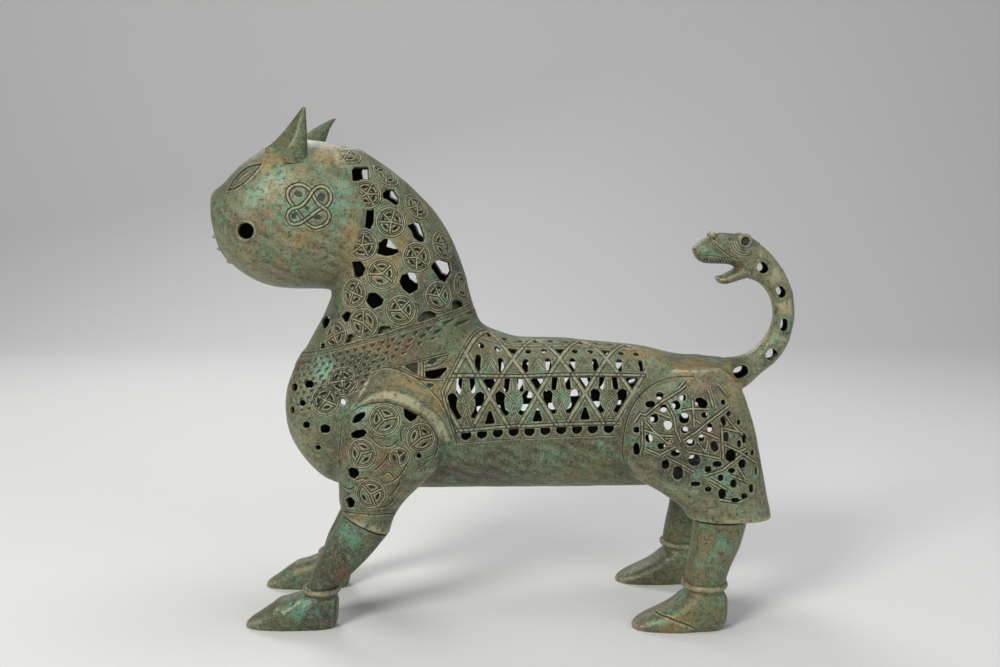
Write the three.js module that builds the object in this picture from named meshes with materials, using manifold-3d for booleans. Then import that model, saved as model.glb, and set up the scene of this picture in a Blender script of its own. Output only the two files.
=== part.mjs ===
// A cast metal incense burner in the shape of a standing lion with a pierced body.
// Millimetres, +Z up. The lion faces -X, its left side is -Y, and its feet stand on Z = 0.
// The head and neck lift off the body as one lid, along the square to the slanted neck seam,
// and a loose charcoal pan stands on the floor of the chest.

import * as THREE from "three";
import { mergeVertices } from "three/addons/utils/BufferGeometryUtils.js";
import Module from "manifold-3d";

const wasm = await Module();
wasm.setup();

// Walls and clearances
const WALL = 3; // cast wall of the body, the neck and the head
const TAIL_WALL = 2.6; // cast wall of the tail
const FIT = 0.3; // gap between pieces that touch
const SLIP = 0.6; // gap round a piece that lifts out

// Legs, measured from the middle plane of the lion
const FORE_Y = 50; // middle of a forefoot
const HIND_Y = 58; // middle of a hind foot

// Seam between the lid and the body, as two points of its slanted plane
const SEAM_FRONT = [-181, 238];
const SEAM_BACK = [-30, 281];
const SPIGOT_DEPTH = 14; // how far the lid reaches down into the body
const SPIGOT_RISE = 7; // how far the same ring reaches up into the neck
const SPIGOT_WALL = 2.4;
const SPIGOT_FRONT_LEAN = 7; // how far its upper edge leans back from the throat
const SPIGOT_BACK_LEAN = 5; // and forward from the nape

// Planes that part the body into its three castings
const CHEST_END_X = -12;
const RUMP_START_X = 94;

// Line where the plain head meets the pierced neck, from the crown down to the throat
const RIM_LINE = [
  [-121, 500],
  [-121, 350],
  [-124, 340],
  [-131, 327],
  [-138, 314],
  [-142, 302],
  [-153, 291.5],
  [-175, 285],
  [-300, 285],
  [-300, 500],
];

// Ribs: each crosses a form from the point (ax, az) to the point (bx, bz) of the side view,
// and reaches w to each side of the middle. The last number moves the rib's middle sideways.
const TRUNK = [
  [-197, 180, -197, 196, 12],
  [-194, 166, -195, 208, 28],
  [-187, 152, -190, 222, 42],
  [-176, 137, -184, 236, 51],
  [-160, 122, -165, 250, 57],
  [-130, 114, -125, 262, 61],
  [-90, 113.5, -75, 270, 61],
  [-50, 113.5, -35, 268, 58],
  [-20, 113.5, -14, 257, 56],
  [13, 113.5, 13, 249.5, 55],
  [45, 113.5, 45, 248.5, 55],
  [85, 114, 85, 245, 56],
  [121, 114.5, 121, 241, 57],
  [152, 118, 158, 233, 56],
  [180, 128, 190, 230.5, 50],
  [199, 148, 206, 227, 38],
  [208, 168, 212, 213, 22],
];
const NECK = [
  [-193, 205, -14, 240, 57],
  [...SEAM_FRONT, ...SEAM_BACK, 57],
  [-171.5, 255, -37, 308, 55.5],
  [-161, 275, -47, 335, 54],
  [-153, 297, -61, 359, 53],
  [-152, 320, -84, 384, 52.5],
  [-157, 345, -111, 405, 51],
  [-166, 372, -137, 418, 46],
  [-182, 390, -165, 417, 34],
];
const HEAD = [
  [-259, 363, -259.5, 375, 8],
  [-257, 347, -257.5, 380, 17],
  [-252, 331, -252, 384, 27],
  [-244, 318, -244, 391, 36],
  [-233, 308, -233, 402, 43],
  [-218, 300, -218, 413, 50],
  [-200, 295, -200, 424, 55],
  [-180, 294, -180, 425, 58],
  [-160, 294, -160, 423, 59],
  [-140, 295, -140, 419, 58],
  [-122, 301, -122, 410, 55],
  [-105, 313, -105, 399, 48],
  [-95, 330, -95, 388, 36],
];
const SLEEVE = [
  [-112, 214, -92, 214, 7, -6],
  [-131, 205, -73, 203, 16, -4],
  [-142, 189, -59, 186, 21, -3],
  [-146, 168, -52, 166, 23, -3],
  [-147, 148, -58, 145, 23, -3],
  [-147, 130, -74, 128, 22, -2.5],
  [-146.5, 115, -91, 111, 20.5, -1.5],
  [-145.5, 109, -99, 98, 19.2, -0.8],
  [-144, 103, -104, 83, 18.6, 0],
];
const HAUNCH = [
  [145, 226, 186, 227, 8, -19],
  [121, 211, 203, 212, 18, -14],
  [106, 195, 210, 193, 22, -12],
  [98, 176, 216, 174, 23.5, -11],
  [99, 152, 221, 152, 24, -11],
  [111, 133, 225, 132, 24, -10.5],
  [134, 119, 228, 116, 23.5, -9.5],
  [152, 106, 230.5, 104, 22.8, -8],
  [159, 96, 231.5, 96, 22.4, -7],
];
const FORE_SHIN = [
  [-143.6, 102.4, -104.8, 82.8, 17.8, 0],
  [-154.5, 83, -122, 62, 17, 0],
  [-164, 64, -134, 48, 16, 0],
  [-172, 47.5, -143, 37.5, 15.3, 0],
  [-178.5, 33, -149.5, 33, 14.8, 0],
];
const HIND_SHIN = [
  [163, 95.7, 209.5, 95.7, 19.5, -3],
  [160.5, 74, 203.5, 74, 19.5, -1.5],
  [157, 56, 196.5, 56, 19, -0.5],
  [154, 42, 193, 42, 18.4, 0],
  [154, 37.6, 192, 37.6, 18, 0],
];
const FORE_FOOT = [
  [-230.5, 0, -230, 4, 3, 0],
  [-226, -3, -226, 8.5, 8.5, 0],
  [-217, -5, -217, 15, 12.5, 0],
  [-206, -6, -206, 21.5, 15, 0],
  [-192, -6, -192, 26.5, 16.5, 0],
  [-178, -6, -178, 28, 16.5, 0],
  [-163, -6, -163, 27, 15.5, 0],
  [-154, -3, -154, 23, 12, 0],
  [-149.5, 5, -149.5, 17, 6, 0],
];
const HIND_FOOT = [
  [109.5, 0, 110, 4, 4, 0],
  [114, -3, 114, 8.5, 11, 0],
  [122, -5, 122, 12.5, 15, 0],
  [133, -6, 133, 17.5, 18, 0],
  [146, -6, 146, 24, 19.6, 0],
  [160, -6, 160, 31, 20, 0],
  [175, -6, 175, 33, 19.6, 0],
  [186, -3, 186, 28, 16, 0],
  [192, 4, 192, 21, 9, 0],
];
const TAIL = [
  [199, 230, 208, 198, 14],
  [211, 231.5, 219, 204, 13.6],
  [222, 236.5, 231, 215, 12],
  [231, 245, 246, 228, 10.5],
  [238.5, 257, 257, 247, 10],
  [241, 270, 261, 268, 10],
  [239, 282, 259.5, 287, 10],
  [234, 292, 251, 306, 10.5],
  [226, 299, 238, 324, 12],
  [217, 302, 225, 335, 14],
];
const TAIL_SKULL = [
  [167.5, 325, 167, 330.5, 5],
  [171, 319.5, 171, 334, 9],
  [178, 316, 178, 339, 11],
  [184, 316, 184, 343.5, 12.5],
  [192, 315.5, 192, 343.5, 13.5],
  [204, 314, 205, 343, 15.5],
  [212, 304, 215, 341, 15.4],
];
const TAIL_JAW = [
  [188, 299.5, 189, 304.5, 4],
  [193, 296.5, 194.5, 306, 7.5],
  [202, 298.5, 201, 312, 10],
  [214, 302, 213, 320, 11],
];
const EAR = [
  [-195, 401, -171, 402, 9, 0],
  [-197, 413, -170, 414, 10, 0],
  [-190, 425, -170, 427, 8.5, 1],
  [-182, 437, -170, 439, 5.5, 2],
  [-175.5, 446, -170.3, 447.5, 2.6, 3],
  [-172, 450.2, -170.6, 450.6, 0.9, 3.5],
];
const EAR_Y = 36; // middle of an ear's foot
const EAR_SCOOP = 0.25; // how far the hollow of an ear is moved out of its front
const EAR_SCOOP_SIZE = 0.8; // size of that hollow, as a share of the ear
const RIGHT_EAR_BACK = 12; // how far the right ear's tip is bent back

// Shape of the sections: 2 is an ellipse, more is fuller
const TRUNK_POWER = 2.3;
const HEAD_POWER = 2.15;
const LEG_POWER = 2.1;
const FOOT_POWER = 2.5;
// Flats round each form
const OUTSIDE_SIDES = 18; // outside of the trunk, the neck and the head
const INSIDE_SIDES = 12; // inside of the casting, which the spigot shares
const LEG_SIDES = 12;
const TENON_SIDES = 12;
const RING_SIDES = 16;
const PAN_SIDES = 20;

// Ankles: a ring that a tenon of the shin passes through into the foot
const FORE_RING = { x: -164, z: 28.6, radius: 16.4, thick: 3.1 };
const HIND_RING = { x: 173, z: 33.4, radius: 20.4, thick: 3.4 };
const TENON_RADIUS = 8;
const TENON_DEPTH = 12; // into the foot, below the ring
const TENON_LAP = 2; // into the shin, above the ring

// Plug of a shin, which stands up through the floor of its sleeve
const SLEEVE_FLOOR = 4;
const PLUG_RISE = 14;
const PLUG_SHARE = 0.62; // of the shin's size at its top
const PLUG_LAP = 5; // into the shin

// Plug of the small beast's head, which fills the end of the tail
const TAIL_PLUG = 7;

// Charcoal pan
const PAN_X = -100;
const PAN_RADIUS = 35;
const PAN_HEIGHT = 15;
const PAN_WALL = 1.6;
const PAN_FOOT_RADIUS = 15;
const PAN_FOOT_HEIGHT = 3;
const PAN_Z = 122.2; // underside of the pan's foot

// Pierced ornament of the back and flanks: each row lies at an angle above the level
// of the barrel's axis, in degrees, share sizes its holes and phase moves it along by a share
// of the pitch
const BARREL_AXIS_Z = 181;
const LATTICE_START = -43;
const LATTICE_END = 116;
const LATTICE_PITCH = 20.6;
const LATTICE_HOLE = 6.6; // radius of the largest holes
const LATTICE_ROWS = [
  { angle: -6, share: 0.7, phase: 0 },
  { angle: 13, share: 1, phase: 0.5 },
  { angle: 33, share: 0.94, phase: 0 },
  { angle: 54, share: 0.82, phase: 0.5 },
  { angle: 77, share: 0.82, phase: 0 },
];
const HAUNCH_CENTRE = [164, 165];
const HAUNCH_RADIUS = 60;
const HAUNCH_PITCH = 22;
const HAUNCH_HOLE = 6.2;
// Each hole of the neck, shoulders, chest and tail: middle, half length, half height
const NECK_HOLES = [
  [-123, 395, 5, 7],
  [-98, 377, 7, 7],
  [-116, 358, 3.4, 9],
  [-77, 347, 6.5, 9],
  [-102, 334, 9, 6],
  [-127, 314, 6, 7],
  [-83, 304, 7, 8],
  [-57, 315, 6.5, 9],
  [-115, 289, 7, 7],
  [-69, 275, 8, 4.6],
  [-139, 277, 5.5, 7.5],
  [-106, 263, 7.5, 4],
];
const BODY_HOLES = [
  [-128, 194, 6, 5],
  [-128, 178, 6.5, 5],
  [-84, 194, 6.5, 5],
  [-136, 142, 4, 6.5],
  [-134, 119, 3.6, 5],
  [-65, 228, 11, 4.6],
];
const CHEST_HOLES = [
  [-171, 213, 5, 5],
  [-158, 174, 5, 6.5],
  [-158, 228, 5, 4.6],
];
const TAIL_HOLES = [
  [226, 225, 4.4, 4.6],
  [240, 235, 4.2, 4.2],
  [250, 261, 3.6, 5],
  [247, 290, 4, 4.6],
  [231, 312, 4.6, 4.6],
];
const HOLE_SIDES = 5;
const FLANK = 30; // nearest that a side hole comes to the middle plane
const NOSTRIL = [-224, 347, 7.4, 7.4]; // round hole through each side of the muzzle
const BREAST = 12; // nearest that a hole of the muzzle or breast comes to the middle plane

// Roundels carved into the neck, breast and shoulders: middle, half length, half height, and
// turn of their three spokes in degrees
const ROUNDELS = [
  [-98, 355, 12.6, 13, 30],
  [-78, 367, 10, 11, 75],
  [-104, 394, 10.5, 9, 10],
  [-77, 325, 12, 13, 0],
  [-106, 311, 13, 13, 50],
  [-55, 334, 8.5, 12.5, 20],
  [-59, 291, 11.5, 13, 80],
  [-90, 280, 13, 13, 40],
  [-122, 269, 13, 12.4, 5],
  [-132, 294, 11.6, 13, 60],
  [-39, 298, 6.5, 12.8, 30],
  [-118, 378, 12.4, 12.4, 90],
  [-107, 185, 12.5, 12.5, 40],
  [-75, 170, 12, 12.5, 10],
  [-126, 156, 12, 12.5, 70],
  [-119, 122, 12.5, 12.5, 25],
  [-156, 204, 12, 12.4, 60],
];
const ROUNDEL_RIM = 0.8; // share of a roundel that lies within its rim
const ROUNDEL_DEPTH = 1;
const SPOKES = 3;
const SPOKE = 1.2; // half the width of a spoke

// Raised edge round the top of each shoulder
const SHOULDER_RIDGE = [
  [-145, 184],
  [-140, 198],
  [-130, 207],
  [-116, 213],
  [-99, 215],
  [-82, 210],
  [-66, 196],
  [-55, 181],
  [-49, 167],
];
const RIDGE_HALF_WIDTH = 3.6;
const RIDGE_RISE = 1.9;

// Teeth at the front of the muzzle: root, and radius at the root
const TEETH = [
  [-254, 341],
  [-247, 329],
  [-240, 318],
];
const TOOTH_RADIUS = 2.2;
const TOOTH_LENGTH = 7;

// Ears of the small beast's head, set off from the top of its last rib
const CUB_EAR = { forward: 5, below: 4, y: 11, radius: 6.2 };

const OUTSIDE = 700; // longer than the whole lion
const HANDS = [
  ["left", -1],
  ["right", 1],
];

// Joins, cuts and meshes
function toSolid(geometry) {
  const bare = geometry.clone();
  bare.deleteAttribute("normal");
  bare.deleteAttribute("uv");
  const merged = mergeVertices(bare, 1e-4);
  return new wasm.Manifold(
    new wasm.Mesh({
      numProp: 3,
      vertProperties: Float32Array.from(merged.attributes.position.array),
      triVerts: Uint32Array.from(merged.index.array),
    }),
  );
}

function join(solids) {
  return solids.reduce((whole, next) => whole.add(next));
}

function piece(name, solid, material) {
  const mesh = solid.getMesh();
  const geometry = new THREE.BufferGeometry();
  geometry.setAttribute("position", new THREE.BufferAttribute(mesh.vertProperties, 3));
  geometry.setIndex(new THREE.BufferAttribute(mesh.triVerts, 1));
  geometry.computeVertexNormals();
  const result = new THREE.Mesh(geometry, material);
  result.name = name;
  return result;
}

// Lofts
function shrink(ribs, by) {
  return ribs.map(([ax, az, bx, bz, w, ...shift]) => {
    const length = Math.hypot(bx - ax, bz - az);
    const dx = ((bx - ax) / length) * by;
    const dz = ((bz - az) / length) * by;
    return [ax + dx, az + dz, bx - dx, bz - dz, w - by, ...shift];
  });
}

function signedPower(value, power) {
  return Math.sign(value) * Math.abs(value) ** power;
}

function ringOf([ax, az, bx, bz, w, shift = 0], { sides, power, y, side }) {
  const points = [];
  for (let i = 0; i < sides; i++) {
    const angle = (2 * Math.PI * i) / sides;
    const along = signedPower(Math.cos(angle), 2 / power);
    const across = signedPower(Math.sin(angle), 2 / power);
    points.push([
      (ax + bx) / 2 + ((bx - ax) / 2) * along,
      side * (y + shift) + w * across,
      (az + bz) / 2 + ((bz - az) / 2) * along,
    ]);
  }
  return points;
}

function middleOf(points) {
  return [0, 1, 2].map((k) => points.reduce((sum, p) => sum + p[k], 0) / points.length);
}

function facesOut(points, faces) {
  const volume = faces.reduce((sum, corners) => {
    const [a, b, c] = corners.map((i) => new THREE.Vector3(...points[i]));
    return sum + a.dot(b.cross(c));
  }, 0);
  return volume > 0;
}

function loft(ribs, { sides = 12, power = 2, y = 0, side = -1 } = {}) {
  const rings = ribs.map((rib) => ringOf(rib, { sides, power, y, side }));
  const points = rings.flat();
  const faces = [];
  for (let r = 0; r < rings.length - 1; r++) {
    for (let i = 0; i < sides; i++) {
      const here = r * sides + i;
      const next = r * sides + ((i + 1) % sides);
      faces.push([here, next, next + sides], [here, next + sides, here + sides]);
    }
  }
  const last = (rings.length - 1) * sides;
  const startMiddle = points.push(middleOf(rings[0])) - 1;
  const endMiddle = points.push(middleOf(rings[rings.length - 1])) - 1;
  for (let i = 0; i < sides; i++) {
    const next = (i + 1) % sides;
    faces.push([startMiddle, next, i], [endMiddle, last + i, last + next]);
  }
  const outward = facesOut(points, faces) ? faces : faces.map(([i, j, k]) => [i, k, j]);
  const geometry = new THREE.BufferGeometry();
  geometry.setAttribute("position", new THREE.Float32BufferAttribute(points.flat(), 3));
  geometry.setIndex(outward.flat());
  return toSolid(geometry);
}

// Simple solids
function box(x0, x1, y0, y1, z0, z1) {
  const geometry = new THREE.BoxGeometry(x1 - x0, y1 - y0, z1 - z0);
  geometry.translate((x0 + x1) / 2, (y0 + y1) / 2, (z0 + z1) / 2);
  return toSolid(geometry);
}

function between(x0, x1) {
  return box(x0, x1, -OUTSIDE, OUTSIDE, -OUTSIDE, OUTSIDE);
}

function above(z) {
  return box(-OUTSIDE, OUTSIDE, -OUTSIDE, OUTSIDE, z, z + OUTSIDE);
}

function rod(x, y, z, radius, height) {
  const geometry = new THREE.CylinderGeometry(radius, radius, height, TENON_SIDES);
  geometry.rotateX(Math.PI / 2);
  geometry.translate(x, y, z + height / 2);
  return toSolid(geometry);
}

function sideView(points) {
  const shape = new THREE.Shape(points.map(([x, z]) => new THREE.Vector2(x, z)));
  const geometry = new THREE.ExtrudeGeometry(shape, { depth: 2 * OUTSIDE, bevelEnabled: false });
  geometry.rotateX(Math.PI / 2);
  geometry.translate(0, OUTSIDE, 0);
  return toSolid(geometry);
}

// The seam's own frame: u runs back along the seam, v is square to it, towards the lid
const seamLength = Math.hypot(SEAM_BACK[0] - SEAM_FRONT[0], SEAM_BACK[1] - SEAM_FRONT[1]);
const seamU = [
  (SEAM_BACK[0] - SEAM_FRONT[0]) / seamLength,
  (SEAM_BACK[1] - SEAM_FRONT[1]) / seamLength,
];
const seamV = [-seamU[1], seamU[0]];

function seamPoint(u, v) {
  return [
    SEAM_FRONT[0] + u * seamU[0] + v * seamV[0],
    SEAM_FRONT[1] + u * seamU[1] + v * seamV[1],
  ];
}

function seamSlab(from, to) {
  return sideView([
    seamPoint(-OUTSIDE, from),
    seamPoint(OUTSIDE, from),
    seamPoint(OUTSIDE, to),
    seamPoint(-OUTSIDE, to),
  ]);
}

// Forms of the casting. Grown is 0 for its outside, and WALL below that for the inside of its
// wall, which leaves out the end ribs, so that the ends have a wall too
function bodyForm(ribs, power, grown) {
  const sides = grown <= -WALL ? INSIDE_SIDES : OUTSIDE_SIDES;
  return loft(shrink(ribs, -grown), { power, sides });
}

function trunkForm(grown) {
  return bodyForm(grown < 0 ? TRUNK.slice(1, -1) : TRUNK, TRUNK_POWER, grown);
}

function neckForm(grown) {
  return bodyForm(NECK, HEAD_POWER, grown);
}

function headForm(grown) {
  return bodyForm(grown < 0 ? HEAD.slice(1) : HEAD, HEAD_POWER, grown);
}

function legForm(ribs, y, side, grown) {
  return loft(shrink(ribs, -grown), { power: LEG_POWER, sides: LEG_SIDES, y, side });
}

// Everything above the slanted lower end of a leg's sleeve, raised by some height
function aboveEnd(ribs, raise) {
  const [ax, az, bx, bz] = ribs[ribs.length - 1];
  const slope = (bz - az) / (bx - ax);
  const front = [ax - OUTSIDE, az - slope * OUTSIDE + raise];
  const back = [bx + OUTSIDE, bz + slope * OUTSIDE + raise];
  return sideView([front, back, [back[0], 2 * OUTSIDE], [front[0], 2 * OUTSIDE]]);
}

function legHollow(ribs, y, side) {
  return legForm(ribs.slice(1), y, side, -WALL).intersect(aboveEnd(ribs, SLEEVE_FLOOR));
}

function bothHands(make) {
  return HANDS.map(([, side]) => make(side));
}

function skin(grown) {
  return join([
    trunkForm(grown),
    neckForm(grown),
    headForm(grown),
    ...bothHands((side) => legForm(SLEEVE, FORE_Y, side, grown)),
    ...bothHands((side) => legForm(HAUNCH, HIND_Y, side, grown)),
  ]);
}

const outside = skin(0);
const inside = join([
  trunkForm(-WALL),
  neckForm(-WALL),
  headForm(-WALL),
  ...bothHands((side) => legHollow(SLEEVE, FORE_Y, side)),
  ...bothHands((side) => legHollow(HAUNCH, HIND_Y, side)),
]);

// Everything of a side view that lies beyond some distance from the middle plane
function flanks(points, nearest) {
  return sideView(points).subtract(box(-OUTSIDE, OUTSIDE, -nearest, nearest, -OUTSIDE, OUTSIDE));
}

// Raised edge of the shoulders
function strip(points, halfWidth) {
  const edge = (side) =>
    points.map(([x, z], i) => {
      const [ax, az] = points[Math.max(i - 1, 0)];
      const [bx, bz] = points[Math.min(i + 1, points.length - 1)];
      const length = Math.hypot(bx - ax, bz - az);
      const out = (side * halfWidth) / length;
      return [x - (bz - az) * out, z + (bx - ax) * out];
    });
  return [...edge(1), ...edge(-1).reverse()];
}

const ridges = flanks(strip(SHOULDER_RIDGE, RIDGE_HALF_WIDTH), FLANK).intersect(skin(RIDGE_RISE));

// Hollows between the spokes of the roundels
function roundelHollow([x, z, halfLength, halfHeight, turn], spoke) {
  const width = (2 * Math.PI) / SPOKES;
  const middle = THREE.MathUtils.degToRad(turn) + spoke * width;
  const radius = ROUNDEL_RIM;
  const spokeShare = SPOKE / Math.max(halfLength, halfHeight);
  const reach = width / 2 - Math.asin(spokeShare / radius);
  const corners = [
    [spokeShare / Math.sin(width / 2), 0],
    [radius, -reach],
    [radius, 0],
    [radius, reach],
  ];
  const outline = corners.map(([out, angle]) => [
    x + halfLength * out * Math.cos(middle + angle),
    z + halfHeight * out * Math.sin(middle + angle),
  ]);
  return flanks(outline, BREAST);
}

function roundelHollows() {
  const hollows = [];
  for (const roundel of ROUNDELS) {
    for (let spoke = 0; spoke < SPOKES; spoke++) {
      hollows.push(roundelHollow(roundel, spoke));
    }
  }
  return join(hollows).subtract(skin(-ROUNDEL_DEPTH));
}

const casting = outside.add(ridges).subtract(inside).subtract(roundelHollows());

// Holes
function sideHole([x, z, halfLength, halfHeight], from, to) {
  const geometry = new THREE.CylinderGeometry(1, 1, to - from, HOLE_SIDES);
  geometry.scale(halfLength, 1, halfHeight);
  geometry.translate(x, (from + to) / 2, z);
  return toSolid(geometry);
}

function holesOfBothHands(holes, nearest) {
  return holes.flatMap((hole) => [
    sideHole(hole, -OUTSIDE, -nearest),
    sideHole(hole, nearest, OUTSIDE),
  ]);
}

function latticeHole(x, angle, radius, side) {
  const geometry = new THREE.CylinderGeometry(radius, radius, OUTSIDE, HOLE_SIDES);
  geometry.translate(0, OUTSIDE / 2 + FLANK, 0);
  geometry.rotateX(THREE.MathUtils.degToRad(side > 0 ? angle : 180 - angle));
  geometry.translate(x, 0, BARREL_AXIS_Z);
  return toSolid(geometry);
}

function latticeHoles() {
  const holes = [];
  for (const { angle, share, phase } of LATTICE_ROWS) {
    const start = LATTICE_START + phase * LATTICE_PITCH;
    for (let x = start; x < LATTICE_END; x += LATTICE_PITCH) {
      holes.push(...bothHands((side) => latticeHole(x, angle, share * LATTICE_HOLE, side)));
    }
  }
  return holes;
}

function haunchHoles() {
  const holes = [];
  const rowHeight = (HAUNCH_PITCH * Math.sqrt(3)) / 2;
  const reach = Math.ceil(HAUNCH_RADIUS / rowHeight);
  for (let row = -reach; row <= reach; row++) {
    for (let column = -reach; column <= reach; column++) {
      const dx = (column + (row % 2) / 2) * HAUNCH_PITCH;
      const dz = row * rowHeight;
      if (Math.hypot(dx, dz) < HAUNCH_RADIUS - HAUNCH_HOLE) {
        holes.push([HAUNCH_CENTRE[0] + dx, HAUNCH_CENTRE[1] + dz, HAUNCH_HOLE, HAUNCH_HOLE]);
      }
    }
  }
  return holes;
}

const pierced = casting.subtract(
  join([
    ...latticeHoles(),
    ...holesOfBothHands(haunchHoles(), FLANK),
    ...holesOfBothHands(NECK_HOLES, FLANK),
    ...holesOfBothHands(BODY_HOLES, FLANK),
    ...holesOfBothHands(CHEST_HOLES, BREAST),
    ...holesOfBothHands([NOSTRIL], BREAST),
  ]),
);

// Finishes
function finish(color, roughness, metalness) {
  return new THREE.MeshStandardMaterial({ color, roughness, metalness });
}
const greenBronze = finish(0x56645a, 0.62, 0.55);
const brownBronze = finish(0x5f5a48, 0.6, 0.55);
const sootedBronze = finish(0x4a4744, 0.75, 0.5);

// Body
function plugOf(ribs, y, side, grown) {
  const [ax, az, bx, bz, w, shift] = ribs[0];
  const middle = [(ax + bx) / 2, (az + bz) / 2];
  const half = [((bx - ax) / 2) * PLUG_SHARE, ((bz - az) / 2) * PLUG_SHARE];
  const length = Math.hypot(...half);
  const up = [-half[1] / length, half[0] / length];
  const rib = (rise) => [
    middle[0] - half[0] + up[0] * rise,
    middle[1] - half[1] + up[1] * rise,
    middle[0] + half[0] + up[0] * rise,
    middle[1] + half[1] + up[1] * rise,
    w * PLUG_SHARE,
    shift,
  ];
  return legForm([rib(-PLUG_LAP), rib(PLUG_RISE + grown)], y, side, grown);
}

function sockets(ribs, y) {
  return join(bothHands((side) => plugOf(ribs, y, side, FIT)));
}

const bodyCasting = pierced.intersect(seamSlab(-2 * OUTSIDE, 0));
const chest = bodyCasting
  .intersect(between(-OUTSIDE, CHEST_END_X))
  .subtract(sockets(FORE_SHIN, FORE_Y));
const barrel = bodyCasting.intersect(between(CHEST_END_X + FIT, RUMP_START_X - FIT));
const rump = bodyCasting
  .intersect(between(RUMP_START_X, OUTSIDE))
  .subtract(sockets(HIND_SHIN, HIND_Y));
const body = new THREE.Group();
body.add(piece("chest_shell", chest, greenBronze));
body.add(piece("barrel_shell", barrel, greenBronze));
body.add(piece("rump_shell", rump, greenBronze));

// Legs
function shin(ribs, y, side, ring) {
  const top = ring.z + ring.thick + FIT;
  const bottom = ring.z - ring.thick - TENON_DEPTH;
  return join([
    legForm(ribs, y, side, 0),
    plugOf(ribs, y, side, 0),
    rod(ring.x, side * y, bottom, TENON_RADIUS, top + TENON_LAP - bottom),
  ]);
}

function foot(ribs, y, side, ring) {
  const top = ring.z - ring.thick - FIT;
  const socketBottom = ring.z - ring.thick - TENON_DEPTH - FIT;
  const socket = rod(ring.x, side * y, socketBottom, TENON_RADIUS + FIT, OUTSIDE);
  const form = loft(ribs, { power: FOOT_POWER, sides: LEG_SIDES, y, side });
  return form.intersect(above(0)).subtract(above(top)).subtract(socket);
}

function ankleRing(name, { x, z, radius, thick }, y) {
  const bore = TENON_RADIUS + FIT;
  const profile = [new THREE.Vector2(bore, -thick)];
  const rounds = 4;
  for (let i = 0; i <= rounds; i++) {
    const angle = Math.PI * (i / rounds - 0.5);
    const out = radius - thick + thick * Math.cos(angle);
    profile.push(new THREE.Vector2(out, thick * Math.sin(angle)));
  }
  profile.push(new THREE.Vector2(bore, thick), new THREE.Vector2(bore, -thick));
  const geometry = new THREE.LatheGeometry(profile, RING_SIDES);
  geometry.rotateX(Math.PI / 2);
  const ring = piece(name, toSolid(geometry), brownBronze);
  ring.position.set(x, y, z);
  return ring;
}

const LEGS = [
  ["fore", FORE_SHIN, FORE_FOOT, FORE_RING, FORE_Y],
  ["hind", HIND_SHIN, HIND_FOOT, HIND_RING, HIND_Y],
];
for (const [hand, side] of HANDS) {
  for (const [leg, shinRibs, footRibs, ring, y] of LEGS) {
    body.add(piece(`${hand}_${leg}_shin`, shin(shinRibs, y, side, ring), greenBronze));
    body.add(ankleRing(`${hand}_${leg}_ankle_ring`, ring, side * y));
    body.add(piece(`${hand}_${leg}_foot`, foot(footRibs, y, side, ring), greenBronze));
  }
}

// Tail
function rumpRoom() {
  return join([
    trunkForm(FIT),
    ...bothHands((side) => legForm(HAUNCH, HIND_Y, side, FIT)),
  ]);
}

function tailTube() {
  const tube = loft(TAIL);
  const hollow = loft(shrink(TAIL, TAIL_WALL));
  const holes = TAIL_HOLES.map((hole) => sideHole(hole, -OUTSIDE, OUTSIDE));
  return tube.subtract(hollow).subtract(join(holes)).subtract(rumpRoom());
}

function halfway(from, to, share) {
  return from.map((value, k) => value + (to[k] - value) * share);
}

function tailHead() {
  const [before, end] = TAIL.slice(-2);
  const step = Math.hypot(end[0] - before[0], end[1] - before[1]);
  const deep = halfway(end, before, Math.min(1, TAIL_PLUG / step));
  const neckEnd = halfway(end, before, -FIT / step);
  const plug = loft(shrink([deep, end, neckEnd], TAIL_WALL + FIT));
  const skull = loft([...TAIL_SKULL, neckEnd]);
  const jaw = loft(TAIL_JAW);
  const [, , crownX, crownZ] = TAIL_SKULL[TAIL_SKULL.length - 1];
  const ears = bothHands((side) => {
    const ear = new THREE.SphereGeometry(CUB_EAR.radius, 8, 6);
    ear.translate(crownX - CUB_EAR.forward, side * CUB_EAR.y, crownZ - CUB_EAR.below);
    return toSolid(ear);
  });
  return join([skull, jaw, plug, ...ears]);
}
body.add(piece("tail", tailTube(), greenBronze));
body.add(piece("tail_head", tailHead(), brownBronze));

// Charcoal pan, loose on the floor of the chest
function charcoalPan() {
  const rim = PAN_RADIUS - PAN_WALL;
  const floor = PAN_FOOT_HEIGHT + PAN_WALL;
  const profile = [
    [0, 0],
    [PAN_FOOT_RADIUS, 0],
    [PAN_FOOT_RADIUS, PAN_FOOT_HEIGHT],
    [PAN_RADIUS - PAN_HEIGHT / 2, PAN_FOOT_HEIGHT],
    [PAN_RADIUS, PAN_HEIGHT],
    [rim, PAN_HEIGHT],
    [rim - PAN_HEIGHT / 2, floor],
    [0, floor],
  ];
  const turned = profile.map(([r, z]) => new THREE.Vector2(r, z));
  const geometry = new THREE.LatheGeometry(turned, PAN_SIDES);
  geometry.rotateX(Math.PI / 2);
  const pan = piece("charcoal_pan", toSolid(geometry), sootedBronze);
  pan.position.set(PAN_X, 0, PAN_Z);
  return pan;
}

// Lid: the neck, its spigot, the head and the ears
function spigotForm(inset, overrun) {
  const rib = (v, frontLean, backLean) => [
    ...seamPoint(frontLean, v),
    ...seamPoint(seamLength - backLean, v),
    NECK[1][4] - frontLean / 2,
  ];
  const ribs = [
    rib(-SPIGOT_DEPTH - overrun, 0, 0),
    rib(0, 0, 0),
    rib(SPIGOT_RISE + overrun, SPIGOT_FRONT_LEAN, SPIGOT_BACK_LEAN),
  ];
  return loft(shrink(ribs, inset), { power: HEAD_POWER, sides: INSIDE_SIDES });
}

function neckSpigot() {
  const outer = spigotForm(WALL + SLIP, 0);
  const bore = spigotForm(WALL + SLIP + SPIGOT_WALL, 1);
  return outer.subtract(bore);
}

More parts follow.
